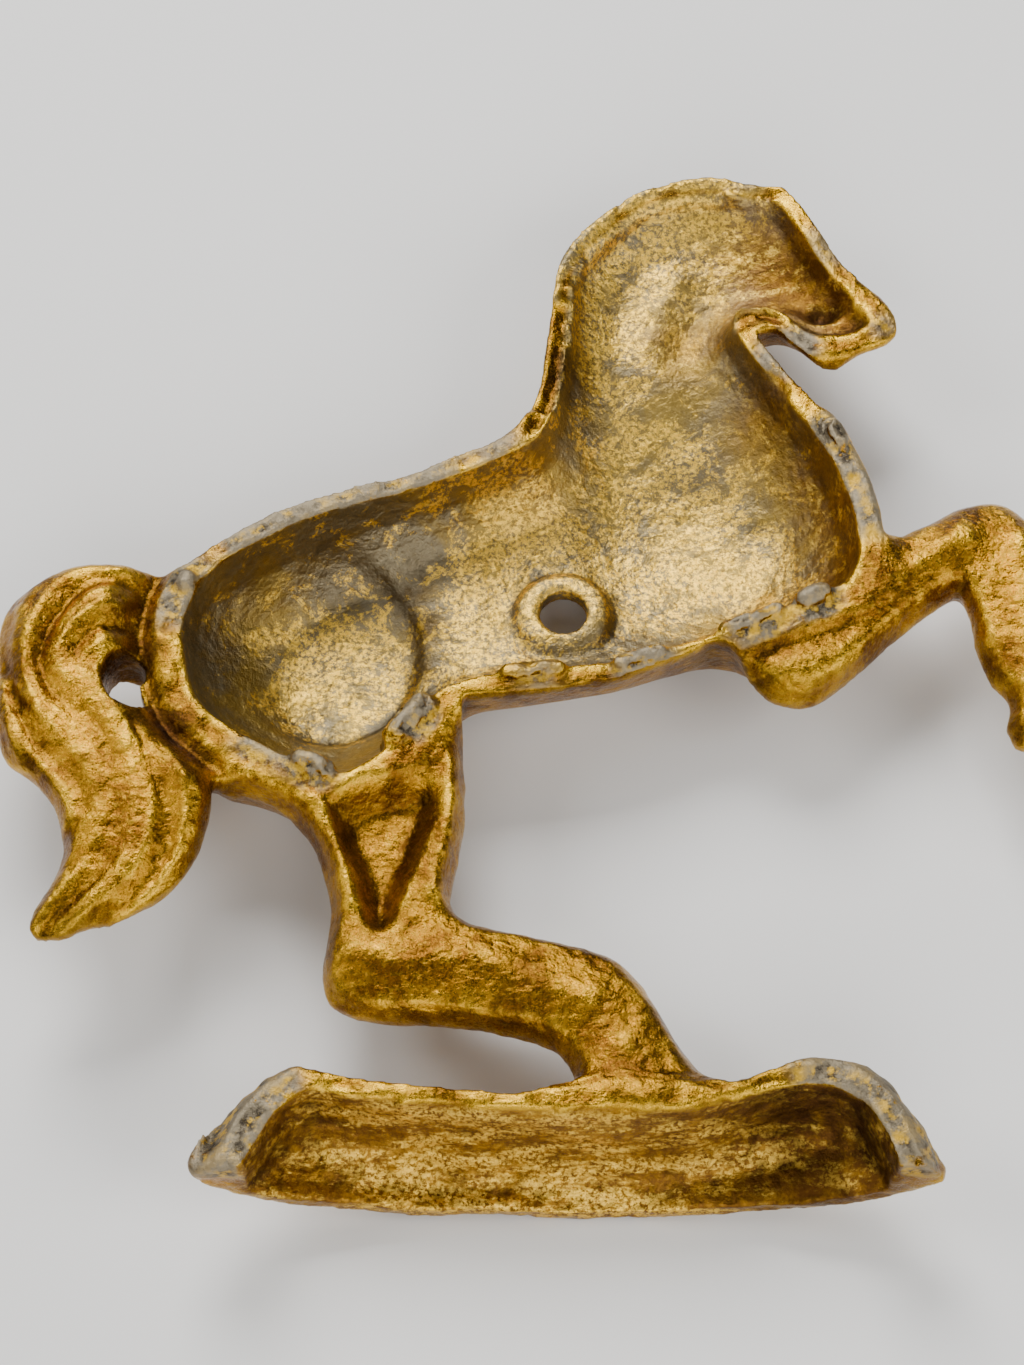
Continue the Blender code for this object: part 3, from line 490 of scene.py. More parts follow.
def plan_mesh(casting, spacing):
    """Triangles over the plan of a half, fine enough for its steep walls."""
    loops = [casting.outline, casting.body_hollow] + casting.holes
    rings = [circle(SCREW_AT, BOSS_RADIUS + d, 60) for d in (-BOSS_SLOPE[0], BOSS_SLOPE[1])]
    for start, end, radius, _ in LUGS:
        outer = radius if casting.has_tail else radius + POCKET_CLEARANCE + LUG_SLOPE
        rings.append(capsule(start, end, outer, 11))
        rings.append(capsule(start, end, outer - LUG_SLOPE, 11))
    points, edges = [], []
    for loop in loops + rings:
        first = len(points)
        points.extend(map(tuple, loop))
        edges += [(first + k, first + (k + 1) % len(loop)) for k in range(len(loop))]
    first = len(points)
    points.extend(map(tuple, casting.base_hollow))
    edges += [(first + k, first + k + 1) for k in range(len(casting.base_hollow) - 1)]
    fixed = np.array(points)
    free = [offset_inwards(casting.body_hollow, d) for d in HOLLOW_ROWS]
    free += [offset_inwards(casting.outline, d) for d in EDGE_ROWS]
    xs = np.arange(4.0, 188.0, spacing)
    rows = np.arange(0.6, 186.0, spacing * 0.87)
    free.append(np.array([(x + (k % 2) * spacing / 2, y) for k, y in enumerate(rows) for x in xs]))
    extra = np.vstack(free)
    extra = extra[inside(*extra.T, casting.outline)]
    extra = extra[spread_out(extra, fixed, 0.5 * spacing)]
    fixed = np.vstack([fixed, extra])
    verts, _, faces, *_ = delaunay_2d_cdt([tuple(p) for p in fixed], edges, [], 0, 1e-5, False)
    xy = np.array([(v[0], v[1]) for v in verts])
    tris = np.array([f for f in faces if len(f) == 3])
    middle = xy[tris].mean(axis=1)
    keep = inside(*middle.T, casting.outline)
    for hole in casting.holes:
        keep &= ~inside(*middle.T, hole)
    return xy, tris[keep]


def spread_out(points, taken, least):
    """Pick points that keep a distance from the taken ones and from each other, in order."""
    def cell(p):
        return int(p[0] // least), int(p[1] // least)

    cells = {}
    for p in taken:
        cells.setdefault(cell(p), []).append(p)
    chosen = np.zeros(len(points), bool)
    for k, p in enumerate(points):
        cx, cy = cell(p)
        near = any((p[0] - q[0]) ** 2 + (p[1] - q[1]) ** 2 < least * least
                   for i in (-1, 0, 1) for j in (-1, 0, 1)
                   for q in cells.get((cx + i, cy + j), ()))
        if not near:
            chosen[k] = True
            cells.setdefault((cx, cy), []).append(p)
    return chosen


def closed_skin(name, xy, tris, top, bottom):
    """A closed object in plan millimetres from two heights over the same triangles."""
    count = len(xy)
    verts = np.vstack([np.column_stack([xy, top]), np.column_stack([xy, bottom])])
    a, b, c = xy[tris.T]
    turn = (b - a)[:, 0] * (c - a)[:, 1] - (b - a)[:, 1] * (c - a)[:, 0]
    tris = np.where((turn > 0)[:, None], tris, tris[:, ::-1])
    faces = [tuple(map(int, t)) for t in tris]
    faces += [tuple(int(k) + count for k in t[::-1]) for t in tris]
    sides = {}
    for a, b, c in tris:
        for start, end in ((a, b), (b, c), (c, a)):
            if (end, start) in sides:
                del sides[(end, start)]
            else:
                sides[(start, end)] = True
    faces += [(int(e), int(s), int(s) + count, int(e) + count) for s, e in sides]
    mesh = bpy.data.meshes.new(name)
    mesh.from_pydata(verts.tolist(), [], faces)
    return put(name, mesh)


def put(name, data):
    """Add an object to the scene."""
    obj = bpy.data.objects.new(name, data)
    bpy.context.scene.collection.objects.link(obj)
    return obj


def apply_modifier(obj, kind, **settings):
    """Add a modifier, set it and bake its result into the mesh."""
    modifier = obj.modifiers.new(kind.lower(), kind)
    for key, value in settings.items():
        setattr(modifier, key, value)
    bpy.context.view_layer.objects.active = obj
    bpy.ops.object.modifier_apply(modifier=modifier.name)


def rows_of(collection, key):
    """One row of three numbers for each item of a mesh's collection."""
    values = np.zeros(len(collection) * 3)
    collection.foreach_get(key, values)
    return values.reshape(-1, 3)


def set_points(mesh, points):
    mesh.vertices.foreach_set("co", points.ravel())
    mesh.update()


def neighbour_mean(mesh, values, rounds):
    """Values averaged over each point's neighbours a number of times."""
    ends = np.zeros(len(mesh.edges) * 2, int)
    mesh.edges.foreach_get("vertices", ends)
    a, b = ends.reshape(-1, 2).T
    flat = values.reshape(len(values), -1).astype(float)
    links = np.bincount(a, minlength=len(flat)) + np.bincount(b, minlength=len(flat))
    for _ in range(rounds):
        total = np.zeros_like(flat)
        for k in range(flat.shape[1]):
            total[:, k] = (np.bincount(a, flat[b, k], len(flat))
                           + np.bincount(b, flat[a, k], len(flat)))
        flat = 0.5 * flat + 0.5 * total / np.maximum(links, 1)[:, None]
    return flat.reshape(values.shape)


TAIL_SPINE = [(33, 97), (20, 96), (13.5, 86), (19, 72), (27, 60), (27, 50), (20, 41)]
MANE_LINE = [(133, 182), (123.4, 183.6), (110.2, 180.6), (98.6, 169.6), (95, 156.3), (92.9, 140.7),
    (87, 130.4)]
LOCK_WIDTH = 7.0
MANE_WIDTH = 15.0

# Fine relief of the hollow: places, how far it reaches and how much deeper it is, mm.
HOLLOW_BUMPS = [((78, 101), 7, -1), ((104, 160), 7, 0.6), ((112, 118), 9, 0.7),
    ((120, 148), 4, -0.7), ((134, 166), 5, 0.5)]
HOLLOW_FOLDS = [
    ([(116, 166), (113, 158), (111.6, 151), (115, 142), (117, 134)], 2.6, -1.1),
    ([(107, 168), (103.5, 156), (103, 144), (105, 133)], 4, 0.8),
    ([(128, 124), (124, 132), (122.6, 141)], 2.4, -0.7),
    ([(92, 124), (98, 116), (100, 110)], 3, -0.6),
]
MOUTH_BUMPS = [((141.2, 157.4), 1.5, 2.2)]
MOUTH_FOLDS = [([(136, 157.4), (138.6, 154.8), (142.4, 154.2), (146, 156.4)], 0.8, -1.2)]
HAUNCH_BOWL = (57.4, 97.0, 16.4, 18.0)  # centre and half sizes
BOSS_RINGS = [(5.2, 0.9, -0.20), (7.6, 1.1, 0.20)]

# Relief of the inner face of the legs.
THIGH_FLOOR = -5.9
LIMB_BUMPS = [((61.6, 36), 3, 0.7), ((104, 18), 4, 0.5), ((134, 86.4), 2.6, 0.7),
    ((171.6, 112), 3.2, 0.6), ((173, 73), 2.2, 0.5), ((72, 60), 2, 0.5)]
LIMB_FOLDS = [
    ([(78.8, 68), (78.2, 58), (76.2, 46)], 1, 0.9),
    ([(56.8, 62), (60.6, 54), (63, 44)], 1.2, 0.8),
    ([(66, 35), (84, 34), (100, 28)], 2.2, 0.7),
    ([(134, 93), (148, 101), (162, 111)], 2, 0.9),
    ([(120, 87.6), (130, 89.6), (141, 94)], 1.8, -1.3),
    ([(172, 110), (171.4, 98), (171.4, 84)], 1.8, 0.7),
    ([(62, 66), (66, 67.4), (71, 69.4)], 0.8, 0.7),
    ([(64, 63.4), (69, 65.4), (74, 66.4)], 0.7, -0.7),
]

# Relief of the outside: mostly the head, and muscles under the skin.
OUTSIDE_BUMPS = [((131, 170.6), 1.7, 1.3), ((146.8, 157.6), 1, -1.3), ((127, 160), 5, 1.2),
    ((147, 155), 3, 0.6), ((128.6, 178), 2, 1.2), ((58, 92), 9, 0.5), ((122, 108), 9, 0.8),
    ((134, 86), 3, 0.8), ((66, 36), 3.4, 0.6), ((170, 112), 4, 0.6)]
OUTSIDE_FOLDS = [
    ([(127.6, 172.6), (131, 173.6), (134.2, 171.8)], 0.6, 0.9),
    ([(128.4, 169.2), (131.2, 168), (134, 169.8)], 0.5, -0.6),
    ([(153.6, 151.6), (148, 152.2), (143.6, 150.8)], 0.5, -1.3),
    ([(121.6, 164), (122.6, 156), (127, 151.6)], 1, -0.9),
    ([(123.6, 176), (126.6, 181), (131, 184)], 1, 1.2),
    ([(113, 128), (108.6, 112), (114, 96)], 2.6, -0.8),
    ([(72, 112), (75, 98), (73, 84)], 2.6, -0.8),
    ([(133, 116), (140, 108), (144, 100)], 2, -0.7),
    ([(60, 62), (66, 50), (66, 42)], 1.4, -0.6),
    ([(167, 72.6), (175, 71.4), (183, 72.4)], 0.6, -0.8),
    ([(95, 19.6), (104, 21.4), (116, 18.8)], 0.6, -0.8),
]

# Where the iron is bare, where dark patina and painted shade darken it, and where thick gold and
# painted light brighten it: x, y, reach, share.
BARE = [(44, 7, 6, 1), (50, 13, 4, 0.9), (148, 8, 6, 1), (142, 15, 5, 0.9), (135, 17, 4, 0.7),
    (46, 110, 4, 0.9), (54, 115, 5, 0.7), (62, 118, 6, 0.6), (74, 122, 6, 0.5), (86, 128, 4, 0.4),
    (35, 101, 3, 1.2), (33, 95, 3, 0.4), (142, 130, 3, 1.3), (146, 120, 4, 0.8),
    (147, 112, 3, 0.5), (132, 145, 4, 0.5), (137, 149, 3, 0.5), (151, 152, 3, 0.4),
    (142, 169, 5, 0.4), (137, 98, 3, 1), (127, 94, 4, 0.7), (109, 87, 4, 0.8), (57, 67, 3, 0.8),
    (72, 76, 3, 1), (48, 71, 4, 0.5), (92, 84, 4, 0.4), (17, 40, 4, 0.8)]
# Dark spots: the ones at 73.6, 93, at 74, 101 and at 71, 109 are a painted shadow along the edge of
# the haunch bowl, and the one at 141.2, 157.4 is painted shade in the mouth pit.
PATINA_AND_SHADE = [(30, 95, 4, 1), (30, 88, 3, 0.8), (33, 77, 4, 0.9), (38, 70, 4, 0.7), (27, 78, 5, 0.5),
    (128, 88, 5, 0.8), (120, 87, 4, 0.6), (139, 90, 5, 0.4), (112, 20, 8, 0.8), (70, 42, 5, 0.5),
    (67, 54, 6, 0.45), (62, 38, 4, 0.4), (90, 33, 7, 0.5), (140, 5, 9, 1), (131, 10, 8, 0.6),
    (50, 5, 5, 0.6), (96, 145, 4, 1), (141.2, 157.4, 1.6, 2.4), (147, 104, 3, 0.7),
    (17, 40, 4, 0.8), (101, 83, 8, 0.6), (84, 81, 6, 0.5), (73.6, 93, 2.4, 0.8),
    (74, 101, 2.4, 0.9), (71, 109, 3, 0.9), (60, 111, 4, 0.5), (46, 105, 4, 0.5), (40, 96, 4, 0.5),
    (78, 115, 5, 0.3), (138, 166, 6, 0.45), (168, 92, 9, 0.3), (176, 70, 8, 0.5), (22, 60, 5, 0.4),
    (62, 18, 7, 0.4), (84, 18, 7, 0.4)]
# Warmer brown in the hollows; the spot at 117, 154 is a painted shadow band.
WARM_HOLLOW = [(139, 163, 8, 0.9), (130, 172, 6, 0.5), (146, 154, 4, 0.8), (145, 108, 4, 1),
    (143, 118, 4, 0.8), (139, 127, 4, 0.6), (131, 138, 5, 0.6), (128, 98, 5, 0.5),
    (140, 101, 4, 0.8), (117, 154, 5, 0.5), (92, 124, 4, 0.4), (66, 70, 4, 0.4)]
# Thicker gold in the hollows; the wide spots at 96, 4 and 70, 4 brighten the lower middle of the
# base as painted light.
THICK_GOLD_AND_LIGHT = [(88, 108, 9, 1), (110, 114, 9, 1.2), (120, 120, 8, 0.9), (130, 108, 8, 0.7),
    (58, 95, 9, 1.2), (108, 172, 9, 1.1), (101, 158, 6, 0.7), (112, 132, 9, 0.9), (80, 92, 7, 0.8),
    (122, 172, 7, 0.8), (92, 96, 8, 0.6), (96, 4, 30, 0.9), (70, 4, 12, 0.6), (88, 120, 7, 0.9),
    (118, 179, 7, 1), (104, 148, 6, 0.6)]


def gaussians(x, y, spots):
    """Sum of round spots of the given reach and strength."""
    total = np.zeros(len(x))
    for at_x, at_y, reach, share in spots:
        total += share * np.exp(-((x - at_x) ** 2 + (y - at_y) ** 2) / (2 * reach ** 2))
    return total


def path_distance(x, y, knots):
    """Signed distance to the side of an open curve, place along it and plain distance."""
    line = curve(knots, 1.0)
    gap = np.full(len(x), np.inf)
    nearest = np.zeros(len(x), int)
    for k, (px, py) in enumerate(line):
        away = np.hypot(x - px, y - py)
        closer = away < gap
        gap[closer] = away[closer]
        nearest[closer] = k
    along = np.gradient(line, axis=0)
    along /= np.hypot(*along.T)[:, None]
    off = (x - line[nearest, 0]) * -along[nearest, 1] + (y - line[nearest, 1]) * along[nearest, 0]
    return off, nearest * 1.0, gap


def relief(x, y, bumps, folds):
    """Round bumps and long folds, higher where their height is above nought."""
    total = gaussians(x, y, [(*place, reach, height) for place, reach, height in bumps])
    for knots, reach, height in folds:
        gap = path_distance(x, y, knots)[2]
        total += height * np.exp(-gap ** 2 / (2 * reach ** 2))
    return total


def tail_locks(x, y):
    """Height of the wavy locks of hair along the tail."""
    off, run, _ = path_distance(x, y, TAIL_SPINE)
    wave = off + 2.2 * np.sin(run / 9.0) + 0.9 * np.sin(run / 4.1 + off * 0.25)
    lock = np.abs(np.sin(wave * math.pi / LOCK_WIDTH))
    share = 0.6 + 0.4 * np.sin(run / 11.0 + off / 5.0)
    return share * (2.3 * (lock ** 0.8 - 0.6) + 0.25 * np.sin(wave * 2.9 + run * 0.2))


def mane_locks(x, y):
    """Height of the locks of the mane, which hang from the crest of the neck."""
    _, run, gap = path_distance(x, y, MANE_LINE)
    band = ease((MANE_WIDTH + 2.0 * np.sin(run / 3.0) - gap) / 2.0)
    band *= ease((gap - 0.6) / 2.0)
    wave = run * 0.75 + gap * 0.55 + 1.1 * np.sin(gap / 3.0)
    return band * (0.5 + 0.9 * (np.abs(np.sin(wave * 0.5)) ** 0.7 - 0.4))


class FineCasting(HalfCasting):
    """The half casting with the relief that is too fine for the CAD solid."""

    def hollow_depth(self, x, y, outer):
        depth = super().hollow_depth(x, y, outer)
        middle_x, middle_y, half_x, half_y = HAUNCH_BOWL
        away = np.hypot((x - middle_x) / half_x, (y - middle_y) / half_y)
        bowl = 1.6 * ease((1.0 - away) / 0.13) * ease((x - 42.0) / 16.0)
        extra = relief(x, y, HOLLOW_BUMPS, HOLLOW_FOLDS) + bowl
        extra *= ease((depth - 1.5) / 4.0) * (y > GROUND_TOP)
        hole = self.screw_distance(x, y)
        extra *= ease((hole - BOSS_RADIUS) / 2.0)
        for radius, reach, deeper in BOSS_RINGS:
            extra += deeper * np.exp(-((hole - radius) / reach) ** 2)
        extra += relief(x, y, MOUTH_BUMPS, MOUTH_FOLDS)
        return np.where(depth > 0.0, np.minimum(depth + extra, outer - 1.5), depth)

    def solid_top(self, x, y):
        z = super().solid_top(x, y)
        share = self.tail_share(x, y)
        away = self.hollow_distance(x, y)
        edge = ease(line_distance(x, y, self.outline) / 1.5)
        limb = (1 - share) * ease((away - RIM_WIDTH) / 2.0) * edge * (y > HOOF_TOP)
        z = z + limb * relief(x, y, LIMB_BUMPS, LIMB_FOLDS)
        within = line_distance(x, y, self.thigh) * np.where(inside(x, y, self.thigh), 1.0, -1.0)
        floor = ease((within + 1.0) / 6.4)
        z = z * (1 - floor) + THIGH_FLOOR * floor
        z = np.where(share > 0.5, z, np.minimum(z, 0.0))
        if self.has_tail:
            z = z + share * ease((away - 6.0) / 5.0) * tail_locks(x, y)
        return z

    def top(self, x, y):
        flat = super().top(x, y)
        points = np.column_stack([x, y, np.zeros(len(x))])
        away = self.hollow_distance(x, y)
        rim = (away > 0.0) * ease((RIM_WIDTH + 1.0 - away) / 1.0) * (flat > -0.3)
        chips = ease((Speckle(11).layered(points, 4.0, 3) - 0.15) / 0.5)
        flat = flat - np.minimum(rim, flat < 0.05) * 0.5 * chips
        slope = ease((y - 128.0) / 8.0) * ease((136.0 - x) / 3.0) * (away > 0.0)
        flat = flat - slope * np.clip(line_distance(x, y, self.outline) - 0.6, 0.0, 3.0) * 0.5
        if not self.has_tail:
            return flat
        lumps = 0.85 + 0.25 * Speckle(12).layered(points, 2.2, 2)
        for start, end, radius, height in LUGS:
            gap = bar_distance(x, y, start, end) / radius
            lug = height * np.sqrt(np.clip(1.0 - gap ** 2, 0.0, 1.0)) * np.clip(lumps, 0.5, 1.0)
            flat = np.where(gap < 1.0, np.minimum(flat, lug), flat)
        return flat

    def bottom(self, x, y):
        low = super().bottom(x, y)
        away = line_distance(x, y, self.outline)
        extra = relief(x, y, OUTSIDE_BUMPS, OUTSIDE_FOLDS) + mane_locks(x, y)
        extra += self.tail_share(x, y) * tail_locks(x, y)
        extra *= ease((away - 0.4) / 1.2)
        extra *= ease((self.screw_distance(x, y) - SEAT_RADIUS) / 2.0)
        return np.maximum(low - extra, -PARTING_HEIGHT)


def build_half(name, node, has_tail, side):
    """Make the fine skin of one half shell in place of its CAD node."""
    casting = FineCasting(has_tail)
    xy, tris = plan_mesh(casting, PLAN_SPACING)
    x, y = xy[:, 0], xy[:, 1]
    top, bottom = casting.top(x, y), casting.bottom(x, y)
    bottom = np.minimum(bottom, top - THINNEST)
    obj = closed_skin(name, xy, tris, top, bottom)
    apply_modifier(obj, "REMESH", mode="VOXEL", voxel_size=VOXEL, adaptivity=0.0)
    mesh = obj.data
    points = neighbour_mean(mesh, rows_of(mesh.vertices, "co"), 2)
    set_points(mesh, points)
    roughen(mesh, casting)
    paint_masks(mesh, casting)
    points = rows_of(mesh.vertices, "co")
    world = np.column_stack([side * points[:, 0], points[:, 1] + BASE_LINE,
                             points[:, 2] + PARTING_HEIGHT]) * MM
    set_points(mesh, world)
    if side < 0:
        mesh.flip_normals()
    mesh.shade_smooth()
    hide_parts(node)
    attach(obj, node)
    return obj


def roughen(mesh, casting):
    """Give the skin the lumps and grain of sand casting."""
    points, normals = rows_of(mesh.vertices, "co"), rows_of(mesh.vertex_normals, "vector")
    x, y, z = points.T
    base = ease((18.0 - y) / 3.0)
    limb = ease((casting.hollow_distance(x, y) - RIM_WIDTH) / 3.0)
    lumps = Speckle(3).layered(points, 7.0, 2)
    grain = Speckle(5).layered(points, 2.2, 3)
    streaks = Speckle(7).layered(points * (0.25, 1.0, 1.0), 3.6, 2)
    height = (0.15 + 0.10 * limb) * lumps + (0.05 + 0.05 * limb) * grain
    height += base * (0.30 * streaks + 0.08 * grain)
    parting = (z > -0.8) & (normals[:, 2] > -0.3) & (casting.tail_share(x, y) < 0.5)
    height = np.where(parting, np.clip(height, -0.3, 0.08), height)
    cracks = ease(Speckle(9).layered(points, 1.7, 2) * 0.9 + 0.2)
    height = np.where(z > 0.3, np.where(parting, -0.65 * cracks, height), height)
    touching = z < 1.0 - PARTING_HEIGHT
    height = np.where(touching, np.minimum(height, 0.0), height)
    hole = casting.screw_distance(x, y)
    height *= ease((hole - 4.4) / 1.0)
    set_points(mesh, points + normals * height[:, None])


def paint_masks(mesh, casting):
    """Keep the masks the paint reads: hollow, bare parting face, crevices for painted shade, ridges
    for painted highlights and wear.
    """
    points, normals = rows_of(mesh.vertices, "co"), rows_of(mesh.vertex_normals, "vector")
    x, y, z = points.T
    away = casting.hollow_distance(x, y)
    hollow = ease((1.2 - away) / 1.2) * ease((-0.25 - z) / 0.8)
    hollow *= ease((normals[:, 2] + 0.3) / 0.4)
    crest = ease((y - 150.0) / 8.0) * ease((134.0 - x) / 4.0)
    flat = ease((normals[:, 2] - 0.35) / 0.4) * ease((z + 1.3) / 0.7)
    rim = flat * ease((5.6 - away) / 1.6)
    ends = ease((abs(x - 96.0) - 42.0) / 5.0) * (y < GROUND_TOP) * ease((z + 7) / 4)
    bare = np.maximum(rim, ends * (away > 0.5)) * np.clip(gaussians(x, y, BARE), 0.0, 1.0)
    lip = rim * np.exp(-((away - 0.6) / 0.7) ** 2)
    # Bend of the surface: crevices get painted shade, ridges a painted highlight on the paint and
    # wear on bare iron.
    near = neighbour_mean(mesh, points, 14)
    wide = neighbour_mean(mesh, near, 50)
    rise = ((points - near) * normals).sum(axis=1)
    rise = rise + 0.16 * np.clip(((points - wide) * normals).sum(axis=1), -0.6, 0.6)
    inner = normals[:, 2] > -0.2
    # Warm brown in the base's hollow and at spots, one of them a painted shadow band.
    rich = ease((19.0 - y) / 3.0) + gaussians(x, y, WARM_HOLLOW)
    masks = {"hollow": np.maximum(hollow, rim * crest), "bare": bare, "lip": lip, "rich": rich,
             "patina_and_shade": gaussians(x, y, PATINA_AND_SHADE) * inner, "gold": gaussians(x, y, THICK_GOLD_AND_LIGHT),
             "crevice_shade": ease(-rise / 0.27), "ridge_highlight_and_wear": ease(rise / 0.24)}
    for name, values in masks.items():
        layer = mesh.attributes.new(name, "FLOAT", "POINT")
        layer.data.foreach_set("value", np.clip(values, 0.0, 1.0).astype(np.float32))


class Nodes:
    """Short hand for building a shader."""

    def __init__(self, name):
        self.material = bpy.data.materials.new(name)
        self.material.use_nodes = True
        self.tree = self.material.node_tree
        self.shader = self.tree.nodes["Principled BSDF"]
        self.place = self.add("ShaderNodeTexCoord").outputs["Object"]

    def add(self, kind, inputs=None, **settings):
        node = self.tree.nodes.new(kind)
        for key, value in settings.items():
            setattr(node, key, value)
        for key, value in (inputs or {}).items():
            self.link(value, node.inputs[key])
        return node

    def link(self, value, socket):
        if isinstance(value, bpy.types.NodeSocket):
            self.tree.links.new(value, socket)
        else:
            socket.default_value = value

    def mask(self, name):
        return self.add("ShaderNodeAttribute", attribute_name=name).outputs["Fac"]

    def noise(self, scale, detail=4.0, rough=0.6, distort=0.0, stretch=None):
        place = self.place
        if stretch:
            mapping = self.add("ShaderNodeMapping", {"Vector": place, "Scale": stretch})
            place = mapping.outputs["Vector"]
        inputs = {"Vector": place, "Scale": scale, "Detail": detail, "Roughness": rough,
                  "Distortion": distort}
        return self.add("ShaderNodeTexNoise", inputs).outputs["Fac"]

    def ramp(self, value, low, high, start=0.0, end=1.0):
        inputs = {"Value": value, "From Min": low, "From Max": high, "To Min": start,
                  "To Max": end}
        node = self.add("ShaderNodeMapRange", inputs, interpolation_type="SMOOTHSTEP")
        return node.outputs["Result"]

    def math(self, kind, a, b):
        return self.add("ShaderNodeMath", {0: a, 1: b}, operation=kind).outputs[0]

    def times(self, *values):
        total = values[0]
        for value in values[1:]:
            total = self.math("MULTIPLY", total, value)
        return total

    def mix(self, share, a, b):
        a, b = ((*c, 1.0) if isinstance(c, tuple) else c for c in (a, b))
        node = self.add("ShaderNodeMix", {"Factor": share, 6: a, 7: b}, data_type="RGBA")
        return node.outputs[2]

    def blend(self, share, a, b):
        inputs = {"Factor": share, "A": a, "B": b}
        return self.add("ShaderNodeMix", inputs, data_type="FLOAT").outputs["Result"]

    def bump(self, heights):
        before = {}
        for height, strength, distance in heights:
            inputs = {"Height": height, "Strength": strength, "Distance": distance, **before}
            before = {"Normal": self.add("ShaderNodeBump", inputs).outputs["Normal"]}
        self.link(before["Normal"], self.shader.inputs["Normal"])

    def surface(self, colour, metallic, rough):
        for key, value in (("Base Color", colour), ("Metallic", metallic), ("Roughness", rough)):
            self.link(value, self.shader.inputs[key])


DEEP_BROWN = (0.032, 0.0095, 0.0015)
BROWN = (0.16, 0.062, 0.004)
GOLD_BROWN = (0.39, 0.184, 0.007)
BRIGHT_GOLD = (0.76, 0.455, 0.024)
DUSTY_OLIVE = (0.29, 0.196, 0.048)
DUSTY_GREY = (0.185, 0.15, 0.088)
PALE_GOLD = (0.92, 0.57, 0.07)
BARE_IRON = (0.19, 0.156, 0.103)
DARK_IRON = (0.045, 0.035, 0.024)
WORN_IRON = (0.29, 0.24, 0.158)
DARK_STEEL = (0.14, 0.12, 0.10)
LIGHT_STEEL = (0.42, 0.40, 0.37)


def warm_paint(n, crevice_shade, ridge_highlight_and_wear):
    """Glossy gold-brown paint of the legs, the tail and the outside."""
    blotch = n.noise(120.0, 5.0, 0.62, 0.6)
    fine = n.noise(1000.0, 5.0, 0.7)
    colour = n.mix(n.ramp(blotch, 0.37, 0.60), BROWN, GOLD_BROWN)
    colour = n.mix(n.times(n.ramp(fine, 0.48, 0.70), 0.30), colour, BRIGHT_GOLD)
    # Painted highlight: ridges lightened to bright gold.
    colour = n.mix(n.times(ridge_highlight_and_wear, n.ramp(blotch, 0.30, 0.66), 0.70), colour, BRIGHT_GOLD)
    # Painted shade: crevices darkened to deep brown.
    colour = n.mix(n.times(crevice_shade, 0.52), colour, DEEP_BROWN)
    # Patina darkens the paint; some of its spots are painted shade.
    dark = n.times(n.mask("patina_and_shade"), n.ramp(n.noise(300.0, 5.0, 0.7), 0.30, 0.56), 0.85)
    return n.mix(dark, colour, DEEP_BROWN)


def dusty_paint(n, crevice_shade):
    """Thin dusty gold over grey iron inside the hollows."""
    cloud = n.noise(70.0, 6.0, 0.66, 0.5)
    colour = n.mix(n.ramp(cloud, 0.38, 0.62), DUSTY_GREY, DUSTY_OLIVE)
    thick = n.math("ADD", n.times(n.mask("gold"), 0.15), n.noise(170.0, 6.0, 0.78, 0.5))
    speckle = n.ramp(n.noise(1300.0, 5.0, 0.75), 0.42, 0.56)
    flakes = n.times(n.ramp(thick, 0.56, 0.65), speckle, 0.95)
    colour = n.mix(flakes, colour, PALE_GOLD)
    # Painted shade: crevices darkened to dark iron.
    colour = n.mix(n.times(crevice_shade, 0.55), colour, DARK_IRON)
    rich = n.mix(n.ramp(n.noise(420.0, 6.0, 0.72), 0.44, 0.68), BROWN, GOLD_BROWN)
    # The gold mask also brightens the base's lower middle as painted light.
    streak = n.math("ADD", n.times(n.mask("gold"), 0.11),
                    n.noise(190.0, 6.0, 0.74, 0.3, (0.4, 1.3, 1.3)))
    rich = n.mix(n.times(n.ramp(streak, 0.52, 0.64), speckle), rich, PALE_GOLD)
    # Painted shade: crevices of the rich brown darkened.
    rich = n.mix(n.times(crevice_shade, 0.7), rich, DEEP_BROWN)
    colour = n.mix(n.times(n.mask("rich"), 0.92), colour, rich)
    # Patina darkens the dust; some of its spots are painted shade.
    dark = n.times(n.mask("patina_and_shade"), n.ramp(cloud, 0.25, 0.55), 0.80)
    return n.mix(dark, colour, DEEP_BROWN)


def bare_iron(n, ridge_highlight_and_wear):
    """Grey iron of the worn parting face with specks of paint left on it."""
    colour = n.mix(n.ramp(n.noise(620.0, 6.0, 0.78), 0.42, 0.56), DARK_IRON, BARE_IRON)
    left_over = n.times(n.ramp(n.noise(300.0, 5.0, 0.7), 0.46, 0.58), 0.70)
    colour = n.mix(left_over, colour, BRIGHT_GOLD)
    # Ridges of the bare iron rubbed lighter by wear.
    return n.mix(n.times(ridge_highlight_and_wear, 0.8), colour, WORN_IRON)


